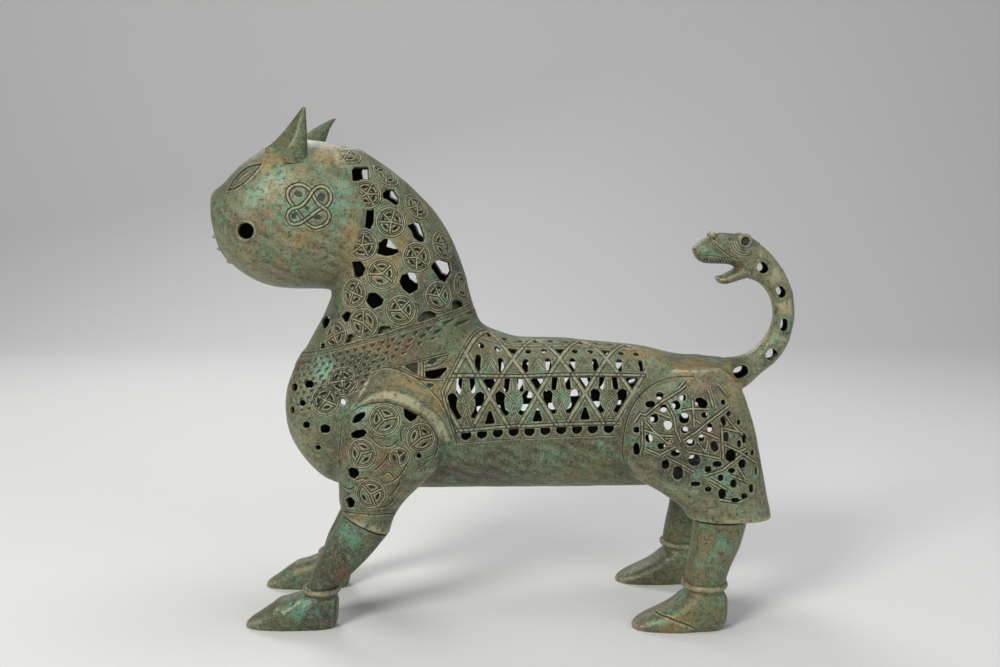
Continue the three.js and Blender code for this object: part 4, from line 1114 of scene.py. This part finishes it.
def ornament(points, normal, centres):
    work = Ornament(len(points))
    photo = photo_of(points)
    facing = normal[:, 1] * np.where(points[:, 1] < 0, 1, -1) < -0.08
    _, across = seam_frame(points)
    front = np.interp(photo[:, 1], [y for _, y in NECK_FRONT], [x for x, _ in NECK_FRONT])
    behind = (photo[:, 0] - front) * PX
    on_neck = (across > 1.0) & (behind > 0) & seen_in(photo, NECK_BOX)
    for centre, outer, radius, spokes, where in centres:
        roundel(work, points, centre, outer, radius, spokes, on_neck if where == "neck" else across < -1)
    neck_zone(work, points, photo, facing, across, behind, centres)
    barrel_zone(work, points)
    haunch_zone(work, photo, facing)
    shoulder_zone(work, points, photo, facing)
    collar_zone(work, points)
    panel_zone(work, photo, facing)
    head_zone(work, points, photo, facing)
    on_chest = seen_in(photo, CHEST_BOX) & (points[:, 2] < 245) & (across < -2)
    for table, where in ((CHEST_HOLES, on_chest), (TAIL_HOLES, seen_in(photo, TAIL_BOX))):
        at = np.nonzero(where & facing)[0]
        if len(at):
            work.pierce(at, nearest(blob, photo[at], table))
    work.approach(slice(None), np.abs(work.hole))
    return work


# The whole casting as one skin
casting_parts = [
    loft(TRUNK, power=TRUNK_POWER), loft(NECK, power=HEAD_POWER), loft(HEAD, power=HEAD_POWER),
    loft(TAIL, sides=48),
]
for side in (-1, 1):
    casting_parts.append(loft(SLEEVE, power=LEG_POWER, y=FORE_Y, side=side))
    casting_parts.append(loft(HAUNCH, power=LEG_POWER, y=HIND_Y, side=side))
points, faces = remeshed(casting_parts, voxel=2.0, smooth=4, fill=14)
skin = BVHTree.FromPolygons(points.tolist(), faces.tolist())

roundel_centres = []
for table, radius, where in (
    (NECK_ROUNDELS, NECK_RADIUS, "neck"), (SHOULDER_ROUNDELS[:4], SHOULDER_RADIUS, "body"),
    (SHOULDER_ROUNDELS[4:], SMALL_RADIUS, "body"), (CHEST_ROUNDELS, CHEST_RADIUS, "body"),
):
    for x, y, spokes in table:
        place, normal, _, _ = skin.ray_cast(Vector(CAMERA), ray_to(x, y))
        for hand in (1, -1):
            flip = np.array([1, hand, 1])
            centre, outer = np.array(place) * flip, np.array(normal) * flip
            roundel_centres.append((centre, outer, radius, spokes, where))

for spacing in (2.0, 1.0):
    work = ornament(points, normals_of(points, faces), roundel_centres)
    points, faces = refine(points, faces, (work.near < spacing * 0.9 + 0.5)[faces].any(1))

normal = normals_of(points, faces)
work = ornament(points, normal, roundel_centres)
values, faces = cut(np.concatenate([points, normal], 1), faces, work.hole)
values, faces = without_slivers(values, faces, SLIVER)
points, normal = values[:, :3], values[:, 3:6]
normal /= np.linalg.norm(normal, axis=1)[:, None]
work = ornament(points, normal, roundel_centres)
rim_drop = 0.35 * np.clip(1 - work.hole / 0.9, 0, 1) ** 2
height = work.rise - work.deep - rim_drop + cast_waves(points)
carved = points + normal * height[:, None]
shade = normals_of(carved, faces)
proud = proudness(carved, faces, shade)
# Painted shade: grooves, cuts and hollows of the carved surface are darkened where shade falls
groove_shade = np.clip(np.maximum(work.deep / 0.85, -proud / 0.25), 0, 1) ** 1.2
# Paler hole rims, raised edges and ridges: partly wear, partly painted highlight where edges catch light
wear_and_sheen = np.maximum(0.55 * swell(work.hole, 0.7), np.clip(proud / 0.12, 0, 1))
wear_and_sheen = np.maximum(wear_and_sheen, work.ridge_sheen_and_wear) * (1 - groove_shade)
# Columns: carved surface, plain surface, its normals, the carved normals, painted shade in grooves and
# hollows, and wear with painted highlight
field = np.concatenate([carved, points, normal, shade, groove_shade[:, None], wear_and_sheen[:, None]], axis=1)


def solid_shell(values, faces, wall):
    """Shell with an inside wall and a rim round every hole, with its normals and marks."""
    count = len(values)
    inward = values[:, 6:9] / np.linalg.norm(values[:, 6:9], axis=1)[:, None]
    points = np.concatenate([values[:, 0:3], values[:, 3:6] - inward * wall])
    edges = sides_of(faces)
    key = edges.min(1) * count + edges.max(1)
    _, index, number = np.unique(key, return_index=True, return_counts=True)
    a, b = edges[index[number == 1]].T
    walls = np.concatenate(
        [np.stack([b, a, a + count], 1), np.stack([b, a + count, b + count], 1)]
    )
    first, second, third = points[walls].transpose(1, 0, 2)
    face_normal = np.cross(second - first, third - first)
    wall_normal = np.zeros((2 * count, 3))
    for k in range(3):
        np.add.at(wall_normal, walls[:, k], face_normal)
    loop_normals = (values[faces, 9:12], -inward[faces[:, ::-1]], unit(wall_normal)[walls])
    # The inside wall gets the full groove mark: soot, and painted shade inside the shell
    marks = np.concatenate([values[:, 12:14], np.full((count, 2), [1.0, 0.0])])
    return (
        points, np.concatenate([faces, faces[:, ::-1] + count, walls]),
        np.concatenate([part.reshape(-1, 3) for part in loop_normals]), marks,
    )


def tint(points, places):
    """How much of a tone the near side takes on around the places named."""
    photo = photo_of(points)
    amount = np.zeros(len(points))
    for x, y, wide, tall in places:
        reach = ((photo[:, 0] - x) / wide) ** 2 + ((photo[:, 1] - y) / tall) ** 2
        amount = np.maximum(amount, np.exp(-0.7 * reach))
    return amount * (points[:, 1] < 0)


def put(name, points, faces, body, slot, nodes, marks=None, loop_normals=None):
    """Makes a piece of the object from arrays in millimetres."""
    mesh = bpy.data.meshes.new(name)
    mesh.vertices.add(len(points))
    mesh.vertices.foreach_set("co", (points * MM).astype(np.float32).ravel())
    mesh.loops.add(len(faces) * 3)
    mesh.loops.foreach_set("vertex_index", faces.astype(np.int32).ravel())
    mesh.polygons.add(len(faces))
    mesh.polygons.foreach_set("loop_start", np.arange(0, len(faces) * 3, 3, dtype=np.int32))
    mesh.polygons.foreach_set("loop_total", np.full(len(faces), 3, np.int32))
    mesh.update(calc_edges=True)
    mesh.polygons.foreach_set("use_smooth", np.ones(len(faces), bool))
    groove_shade, wear_and_sheen = np.zeros((2, len(points))) if marks is None else marks.T
    layers = {"groove_shade": groove_shade, "wear_and_sheen": wear_and_sheen}
    layers.update({label: tint(points, places) for label, places in TINTS.items()})
    for label, amount in layers.items():
        layer = mesh.attributes.new(label, "FLOAT", "POINT")
        layer.data.foreach_set("value", amount.astype(np.float32))
    if loop_normals is not None:
        mesh.normals_split_custom_set(loop_normals.astype(np.float32))
    piece = bpy.data.objects.new(name, mesh)
    bpy.context.scene.collection.objects.link(piece)
    piece.data.materials.append(BRONZES[slot])
    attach(piece, body)
    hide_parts(*nodes)
    return piece


def put_plain(name, part, body, slot, nodes, marks=None):
    """Piece with sharp edges where its surface bends hard."""
    piece = put(name, *part, body, slot, nodes, marks)
    piece.data.set_sharp_from_angle(angle=math.radians(50))


# Materials
def fill(tree, node, values):
    """Links or sets the sockets of a node."""
    for socket, value in values.items():
        if isinstance(value, bpy.types.NodeSocket):
            tree.links.new(value, node.inputs[socket])
        else:
            node.inputs[socket].default_value = value


def mix(tree, factor, first, second):
    made = tree.nodes.new("ShaderNodeMix")
    made.data_type = "RGBA"
    fill(tree, made, {0: factor, 6: first, 7: second})
    return made.outputs[2]


def ramp(tree, source, low, high):
    made = tree.nodes.new("ShaderNodeMapRange")
    made.interpolation_type = "SMOOTHSTEP"
    fill(tree, made, {"Value": source, "From Min": low, "From Max": high})
    return made.outputs["Result"]


def noise(tree, place, scale, detail, roughness, distortion):
    made = tree.nodes.new("ShaderNodeTexNoise")
    fill(tree, made, {"Scale": scale, "Detail": detail, "Roughness": roughness})
    fill(tree, made, {"Distortion": distortion, "Vector": place})
    return made.outputs["Fac"]


def maths(tree, operation, first, second):
    made = tree.nodes.new("ShaderNodeMath")
    made.operation = operation
    fill(tree, made, {0: first, 1: second})
    return made.outputs[0]


def bump(tree, height, strength, distance):
    made = tree.nodes.new("ShaderNodeBump")
    fill(tree, made, {"Height": height, "Strength": strength, "Distance": distance})
    return made


# Noise by name: scale, detail, roughness and distortion
NOISES = {
    "large": (9.0, 5.0, 0.55, 0.4), "medium": (34.0, 8.0, 0.72, 0.3), "fine": (260.0, 8.0, 0.80, 0.0),
    "grain": (760.0, 4.0, 0.75, 0.0), "spots": (62.0, 9.0, 0.78, 0.5), "cloud": (105.0, 9.0, 0.76, 0.8),
    "gold": (17.0, 9.0, 0.74, 0.5), "red": (41.0, 8.0, 0.74, 0.6),
}
# Blooms of the patina: noise, the mark that feeds it and its share, where the noise begins and
# is full, strength and colour
BLOOMS = [
    ("gold", "ochre", 0.23, 0.55, 0.72, 0.85, (0.265, 0.180, 0.055, 1)),
    ("red", "rust", 0.18, 0.55, 0.70, 0.80, (0.165, 0.065, 0.038, 1)),
    ("spots", "verdigris", 0.14, 0.52, 0.66, 0.82, (0.110, 0.270, 0.180, 1)),
]
# Pale of worn edges, also standing for painted highlight on them
WORN_AND_SHEEN = (0.46, 0.43, 0.27, 1)
SOIL = (0.040, 0.038, 0.025, 1)
PITS = (0.022, 0.023, 0.016, 1)
PALE = (0.420, 0.410, 0.250, 1)
# Near-black of the painted shade in grooves, hollows and the inside
GROOVE_SHADE = (0.012, 0.012, 0.009, 1)


def patina(name, dark, olive, green, tones, rough):
    """Bronze under a mottled patina, with painted shade in its grooves and hollows, and paler edges that
    are partly wear and partly painted highlight.
    """
    material = bpy.data.materials.new(name)
    material.use_nodes = True
    tree = material.node_tree
    shader = tree.nodes["Principled BSDF"]
    place = tree.nodes.new("ShaderNodeTexCoord").outputs["Object"]
    mark = {}
    for label in ("groove_shade", "wear_and_sheen", *TINTS):
        layer = tree.nodes.new("ShaderNodeAttribute")
        layer.attribute_name = label
        mark[label] = layer.outputs["Fac"]
    field = {label: noise(tree, place, *spec) for label, spec in NOISES.items()}

    # Lays a tone over the colour: real stains and mottling, and also the painted shade and painted
    # highlight below
    def tone_over(below, amount, strength, tone):
        return mix(tree, maths(tree, "MULTIPLY", amount, strength), below, tone)

    colour = mix(tree, ramp(tree, field["large"], 0.38, 0.62), (*dark, 1), (*olive, 1))
    colour = tone_over(colour, ramp(tree, field["medium"], 0.46, 0.60), 0.80, (*green, 1))
    for label, feed, share, low, high, strength, tone in BLOOMS:
        summed = maths(tree, "ADD", field[label], maths(tree, "MULTIPLY", mark[feed], share))
        colour = tone_over(colour, ramp(tree, summed, low, high), strength * tones, tone)
    # Paler edges and ridges: wear, and painted highlight
    colour = tone_over(colour, mark["wear_and_sheen"], 0.66 * tones, WORN_AND_SHEEN)
    colour = tone_over(colour, ramp(tree, field["cloud"], 0.52, 0.68), 0.60 * tones, SOIL)
    colour = tone_over(colour, ramp(tree, field["fine"], 0.50, 0.61), 0.82, PITS)
    colour = tone_over(colour, ramp(tree, field["grain"], 0.52, 0.62), 0.38 * tones, PALE)
    # Painted shade: grooves, hollows and the inside darkened nearly to black
    colour = tone_over(colour, mark["groove_shade"], 0.88, GROOVE_SHADE)
    dull = tree.nodes.new("ShaderNodeMapRange")
    fill(tree, dull, {"Value": field["medium"], "To Min": rough - 0.14, "To Max": rough + 0.18})
    broad = bump(tree, field["medium"], 0.30, 0.0022)
    close = bump(tree, field["fine"], 0.75, 0.0006)
    fill(tree, close, {"Normal": broad.outputs["Normal"]})
    fill(
        tree, shader,
        {
            "Base Color": colour, "Metallic": 0.30, "Roughness": dull.outputs["Result"],
            "Normal": close.outputs["Normal"],
        },
    )
    return material


# Three colours of the ground, the share of the blooms and the roughness
GROUNDS = {
    "green_bronze": ((0.052, 0.050, 0.028), (0.152, 0.136, 0.064), (0.092, 0.155, 0.080), 1.0, 0.42),
    "brown_bronze": ((0.058, 0.050, 0.028), (0.158, 0.128, 0.062), (0.098, 0.145, 0.078), 0.9, 0.42),
    "sooted_bronze": ((0.026, 0.024, 0.022), (0.045, 0.041, 0.036), (0.050, 0.054, 0.044), 0.25, 0.70),
}
BRONZES = {name: patina(name, *spec) for name, spec in GROUNDS.items()}


# Teeth stand round the mouth
def with_teeth(points, faces, loop_normals, marks):
    parts = [(points, faces)]
    cos, sin = [part[:, None] for part in circle(12)]
    for y, z in TEETH:
        place, _, _, _ = skin.ray_cast(Vector((-400, y, z)), Vector((1, 0, 0)))
        aim = np.array([-1.0, 0.02 * y, -0.12 if z > UPPER_LIP else 0.05])
        aim /= np.linalg.norm(aim)
        across = np.cross(aim, [0.0, 0.0, 1.0])
        across /= np.linalg.norm(across)
        upward = np.cross(across, aim)
        rings = [
            np.array(place) + aim * along + wide * (cos * across + sin * upward)
            for along, wide in TOOTH_OUTLINE
        ]
        parts.append(skin_rings(rings))
    points, faces = merged(parts)
    added = len(points) - len(marks)
    fresh = normals_of(points, faces)[faces[len(loop_normals) // 3:]].reshape(-1, 3)
    # Teeth: no painted shade, and pale with wear and painted highlight
    marks = np.concatenate([marks, np.tile([0.0, 0.7], (added, 1))])
    return points, faces, np.concatenate([loop_normals, fresh]), marks


# The castings, cut out of the one skin
flat = field[:, 3:6]
_, across = seam_frame(flat)
rim = polygon_distance(flat[:, [0, 2]], RIM_LINE)
(tail_x0, tail_z0), (tail_x1, tail_z1) = TAIL_LINE
tail_side = (
    (flat[:, 0] - tail_x0) * (tail_z1 - tail_z0) - (flat[:, 2] - tail_z0) * (tail_x1 - tail_x0)
) / math.hypot(tail_x1 - tail_x0, tail_z1 - tail_z0)
sleeve_end = (flat[:, 2] - np.interp(flat[:, 0], *SLEEVE_END)) * SLEEVE_END_SLOPE - 0.9
leg_end = np.where(flat[:, 0] < 0, sleeve_end, flat[:, 2] - HAUNCH_END)
leg_end = np.where(flat[:, 2] < LEG_TOP, np.minimum(leg_end, 5), 5)
body_part = np.minimum(np.minimum(-across, leg_end), -tail_side)
behind_chest, behind_barrel = flat[:, 0] - CHEST_END_X, flat[:, 0] - RUMP_START_X
for name, keep, wall, body, nodes in (
    ("chest_cast", np.minimum(body_part, -behind_chest), WALL, "body", ["chest_shell"]),
    (
        "barrel_cast", np.minimum(body_part, np.minimum(behind_chest, -behind_barrel)), WALL, "body",
        ["barrel_shell"],
    ),
    ("rump_cast", np.minimum(body_part, behind_barrel), WALL, "body", ["rump_shell"]),
    ("tail_cast", tail_side, TAIL_WALL, "body", ["tail"]),
    ("neck_cast", np.minimum(across - SEAM_GAP, rim), WALL, "lid", ["neck_shell"]),
    ("head_cast", np.minimum(across - SEAM_GAP, -rim), WALL, "lid", ["head_shell"]),
):
    shell = solid_shell(*cut(field, faces, keep), wall)
    if name == "head_cast":
        shell = with_teeth(*shell)
    points, shell_faces, loop_normals, marks = shell
    put(name, points, shell_faces, body, "green_bronze", nodes, marks, loop_normals)


# Ears
def ear_ring(row, lean, side):
    """Level of an ear: a curled leaf of even wall, open to the front."""
    z, ax, ay, bx, by, drop = row
    back = EAR_BACK - 0.02 * (450 - z)
    pull = (8 * back - ax - bx) / 6
    t = np.linspace(0, 1, 17)[:, None]
    ends = np.array([(ax, ay), (pull, ay), (pull, by), (bx, by)], float)
    curve = (
        (1 - t) ** 3 * ends[0] + 3 * t * (1 - t) ** 2 * ends[1]
        + 3 * t**2 * (1 - t) * ends[2] + t**3 * ends[3]
    )
    slope = np.gradient(curve, axis=0)
    slope /= np.linalg.norm(slope, axis=1)[:, None]
    out = np.stack([-slope[:, 1], slope[:, 0]], 1)
    thick = np.interp(z, *EAR_HALF_WALL) * (0.75 + 0.25 * np.sin(np.pi * t))
    start = curve[:1] - slope[:1] * thick[:1]
    end = curve[-1:] + slope[-1:] * thick[-1:]
    ring = np.concatenate([start, curve - out * thick, end, (curve + out * thick)[::-1]])
    return np.stack([ring[:, 0] + lean, side * -ring[:, 1], np.full(len(ring), z - drop)], 1)


def ear(side, bend):
    """An ear, bent back by so much at its tip, with its foot let into the head."""
    rows = np.array([row + (0.0,) for row in EAR], float)
    rows[:, 5] = np.linspace(0, 1, len(rows)) ** 2 * bend * 0.32
    last = len(rows) - 1
    rings = []
    for level in np.linspace(0, last, EAR_LEVELS):
        row = [np.interp(level, np.arange(len(rows)), column) for column in rows.T]
        rings.append(ear_ring(row, bend * (level / last) ** 1.5, side))
    for number, ring in enumerate(rings[:EAR_FOOT_LEVELS]):
        for point in ring:
            place, _, _, _ = skin.ray_cast(Vector((point[0], point[1], 460)), Vector((0, 0, -1)))
            if place is not None:
                point[2] = max(point[2], place.z - 1.8 + 0.02 * number)
    return skin_rings(rings)


for hand, side, bend in (("left", -1, 0.0), ("right", 1, RIGHT_EAR_LEAN)):
    put_plain(f"{hand}_ear_leaf", ear(side, bend), "lid", "green_bronze", [f"{hand}_ear"])


# Legs, feet and ankle rings
def foot_cast(leg, side, foot, ankle, y):
    """A foot with its marks: an instep ridge on the fore feet, a crack in the near hind one."""
    points, faces = remeshed(
        [loft(foot, power=FOOT_POWER, y=y, side=side), loft(ankle, power=LEG_POWER, y=y, side=side)],
        voxel=0.9, smooth=4, fill=4,
    )
    normals = normals_of(points, faces)
    seen = photo_of(points)
    outer = normals[:, 1] * side > 0.05
    deep = np.zeros(len(points))
    height = 1.2 * cast_waves(points)
    if leg == "fore":
        height += 0.9 * outer * swell(curve_distance(seen, INSTEP_RIDGE) * PX, 2.4)
    elif side < 0:
        deep = outer * groove(curve_distance(seen, FOOT_CRACK) * PX, 0.9, 0.9)
        below = seen[:, 1] - np.interp(seen[:, 0], *np.array(FOOT_CRACK).T)
        ahead = FOOT_CRACK[-1][0] + 2 - seen[:, 0]
        height += 0.7 * outer * np.clip(below / 1.5, 0, 1) * np.clip(ahead / 8, 0, 1)
    points = points + normals * (height - deep)[:, None]
    points[:, 2] = np.maximum(points[:, 2], GROUND_GAP)
    # Marks: painted shade in the crack, and wear with painted highlight where the foot stands out
    wear_and_sheen = np.clip(proudness(points, faces, normals) / 0.05 - 0.3, 0, 1)
    return (points, faces), np.stack([np.clip(deep / 0.8, 0, 1), wear_and_sheen], 1)


def ankle_ring(side, x, y, z, radius, thick):
    """A round ring, rubbed bright on its outside."""
    centre = np.array([x, side * y, z])
    rings = []
    for cos, sin in zip(*circle(96)):
        out = np.array([cos, sin, 0])
        rings.append(
            np.array([
                centre + out * (radius - thick + thick * ahead) + [0, 0, thick * up]
                for ahead, up in zip(*circle(20))
            ])
        )
    points, faces = band(rings)
    reach = np.linalg.norm(points[:, :2] - centre[:2], axis=1)
    wear_and_sheen = 0.8 * np.clip((reach - radius + 1.8) / 1.8, 0, 1)
    return (points, faces), np.stack([np.zeros(len(wear_and_sheen)), wear_and_sheen], 1)


for hand, side in (("left", -1), ("right", 1)):
    for leg, shin, ankle, foot, (ring_x, ring_z, radius, thick), y in (
        ("fore", FORE_SHIN, FORE_ANKLE, FORE_FOOT, FORE_RING, FORE_Y),
        ("hind", HIND_SHIN, HIND_ANKLE, HIND_FOOT, HIND_RING, HIND_Y),
    ):
        limb = f"{hand}_{leg}"
        shin_part = loft(shin, power=LEG_POWER, y=y, side=side)
        put_plain(f"{limb}_shin_cast", shin_part, "body", "green_bronze", [f"{limb}_shin"])
        part, marks = foot_cast(leg, side, foot, ankle, y)
        put_plain(f"{limb}_foot_cast", part, "body", "green_bronze", [f"{limb}_foot"], marks)
        part, marks = ankle_ring(side, ring_x, y, ring_z, radius, thick)
        put_plain(f"{limb}_ring", part, "body", "brown_bronze", [f"{limb}_ankle_ring"], marks)


# Spigot and pan, seen when the lid is off
def spigot_rings(inset, levels):
    rings = []
    for level, front_lean, back_lean in levels:
        a = SEAM_FRONT + SEAM_ALONG * (front_lean + inset) + SEAM_SQUARE * level
        b = SEAM_FRONT + SEAM_ALONG * (SEAM_LENGTH - back_lean - inset) + SEAM_SQUARE * level
        row = (a[0], a[1], b[0], b[1], NECK[1][4] - front_lean / 2 - inset, 0)
        rings.append(ring_points(row, 144, HEAD_POWER, 0.0, -1))
    return rings


foot_ring = spigot_rings(SPIGOT_OUTSIDE + SPIGOT_CHAMFER, SPIGOT_LEVELS[:1])
outer_rings = spigot_rings(SPIGOT_OUTSIDE, SPIGOT_LEVELS[1:])
inner_rings = spigot_rings(SPIGOT_INSIDE, SPIGOT_LEVELS[:1] + SPIGOT_LEVELS[2:])
spigot = band(foot_ring + outer_rings + inner_rings[::-1])
put_plain("spigot_ring", spigot, "lid", "brown_bronze", ["neck_spigot"])

round_ring = np.stack([*circle(96), np.zeros(96)], 1)
pan = skin_rings([round_ring * radius + [0, 0, z] + np.array(PAN_PLACE) for radius, z in PAN_OUTLINE])
put_plain("pan_bowl", pan, "pan", "sooted_bronze", ["charcoal_pan"])


# Small beast's head
def ball(centre, radii):
    cos, sin = circle(28)
    rings = [
        np.stack([cos * math.cos(lift), sin * math.cos(lift), np.full(28, math.sin(lift))], 1)
        * radii + centre
        for lift in np.radians(np.linspace(-84, 84, 15))
    ]
    return skin_rings(rings)


cub_parts = [loft(CUB_SKULL, power=2.2), loft(CUB_JAW, power=2.1)]
for side in (-1, 1):
    for centre, radii in CUB_BALLS:
        cub_parts.append(ball(np.array(centre) * [1, side, 1], radii))
points, faces = remeshed(cub_parts, voxel=0.6, smooth=3, fill=5)
normals = normals_of(points, faces)
cub = Ornament(len(points))
aside = np.nonzero(normals[:, 1] * np.sign(points[:, 1]) > 0.1)[0]
x, y, z = np.abs(points[aside]).T
p = photo_of(points)[aside]
(ear_x, _, ear_z), _ = CUB_BALLS[0]
from_ear = np.hypot(x - ear_x, z - ear_z)
angle = np.degrees(np.arctan2(z - ear_z, x - ear_x))
cub.dip(aside, np.where(y > 9, from_ear - 4.2, 9.0), 2.6)
for far in CUB_RUFF:
    cub.line(aside, np.where((angle > -205) & (angle < -55), from_ear - far, 9.0), 0.6, 0.6)
for number in range(10):
    root = (702.5 + 2.9 * number, 263.8 - 0.25 * number)
    tip = (705.0 + 2.9 * number, 258.8 - 0.12 * number)
    cub.line(aside, path_distance(p, [root, tip]) * PX, 0.65, 0.7)
cub.line(aside, path_distance(p, CUB_LIP) * PX, 0.6, 0.6)
cub.line(aside, curve_distance(p, CUB_CHEEK) * PX, 0.7, 0.7)
for hole_x, hole_z, radius, depth in CUB_DRILLED:
    cub.dip(aside, np.hypot(x - hole_x, z - hole_z) - radius, depth)
points = points + normals * (0.4 * cast_waves(points) - cub.deep)[:, None]
# Marks: painted shade in the cuts and dips, and wear with painted highlight where the head stands out
wear_and_sheen = np.clip(proudness(points, faces, normals) / 0.05, 0, 1)
marks = np.stack([np.clip(cub.deep / 0.8, 0, 1), wear_and_sheen], 1)
put("cub_head", points, faces, "body", "brown_bronze", ["tail_head"], marks)

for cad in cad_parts.values():
    cad.data.materials.clear()
    cad.data.materials.append(BRONZES["green_bronze"])

# Floor that curves up into a backdrop, in metres
profile = [(FLOOR_FRONT, 0.0)]
for step in range(FLOOR_STEPS + 1):
    angle = math.pi / 2 * step / FLOOR_STEPS
    profile.append(
        (FLOOR_BACK + FLOOR_BEND * math.sin(angle), FLOOR_BEND - FLOOR_BEND * math.cos(angle))
    )
profile.append((FLOOR_BACK + FLOOR_BEND, FLOOR_TOP))
floor_points = [(x, y, z) for y, z in profile for x in (-FLOOR_HALF, FLOOR_HALF)]
floor_faces = [(2 * i, 2 * i + 1, 2 * i + 3, 2 * i + 2) for i in range(len(profile) - 1)]
floor_mesh = bpy.data.meshes.new("floor")
floor_mesh.from_pydata(floor_points, [], floor_faces)
floor_mesh.polygons.foreach_set("use_smooth", np.ones(len(floor_faces), bool))
pale_floor = bpy.data.materials.new("pale_floor")
pale_floor.use_nodes = True
floor_shader = pale_floor.node_tree.nodes["Principled BSDF"]
floor_shader.inputs["Base Color"].default_value = (0.70, 0.70, 0.69, 1)
floor_shader.inputs["Roughness"].default_value = 0.85
floor_mesh.materials.append(pale_floor)
floor = bpy.data.objects.new("floor", floor_mesh)
bpy.context.scene.collection.objects.link(floor)

# Lamps: name, place, target, size, power and colour
for name, place, target, size, power, colour in (
    ("key", (-1.3, -1.6, 1.5), (0, 0, 0.2), 0.8, 37, (1.0, 0.98, 0.95)),
    ("fill", (1.6, -1.6, 0.9), (0, 0, 0.2), 1.4, 11, (0.95, 0.98, 1.0)),
    ("rim", (-0.6, 1.5, 1.5), (0, 0, 0.3), 0.9, 14, (1.0, 1.0, 1.0)),
    ("top", (0.3, 0.1, 1.9), (0, 0, 0.2), 1.0, 9, (1.0, 1.0, 1.0)),
):
    light = bpy.data.lights.new(name, "AREA")
    light.shape = "DISK"
    light.size = size
    light.energy = power
    light.color = colour
    lamp = bpy.data.objects.new(name, light)
    lamp.location = place
    lamp.rotation_euler = (Vector(target) - Vector(place)).to_track_quat("-Z", "Y").to_euler()
    bpy.context.scene.collection.objects.link(lamp)

world = bpy.data.worlds.new("studio")
world.use_nodes = True
world.node_tree.nodes["Background"].inputs["Color"].default_value = (0.8, 0.82, 0.85, 1)
world.node_tree.nodes["Background"].inputs["Strength"].default_value = 0.35
bpy.context.scene.world = world
bpy.context.scene.view_settings.view_transform = "Standard"

camera_data = bpy.data.cameras.new("camera")
camera_data.sensor_width = SENSOR
camera_data.lens = FOCAL * SENSOR / FRAME_WIDTH
camera = bpy.data.objects.new("camera", camera_data)
axes = Matrix([list(RIGHT), list(UP), list(-FORWARD)]).transposed().to_4x4()
camera.matrix_world = Matrix.Translation(Vector(CAMERA * MM)) @ axes
bpy.context.scene.collection.objects.link(camera)
bpy.context.scene.camera = camera
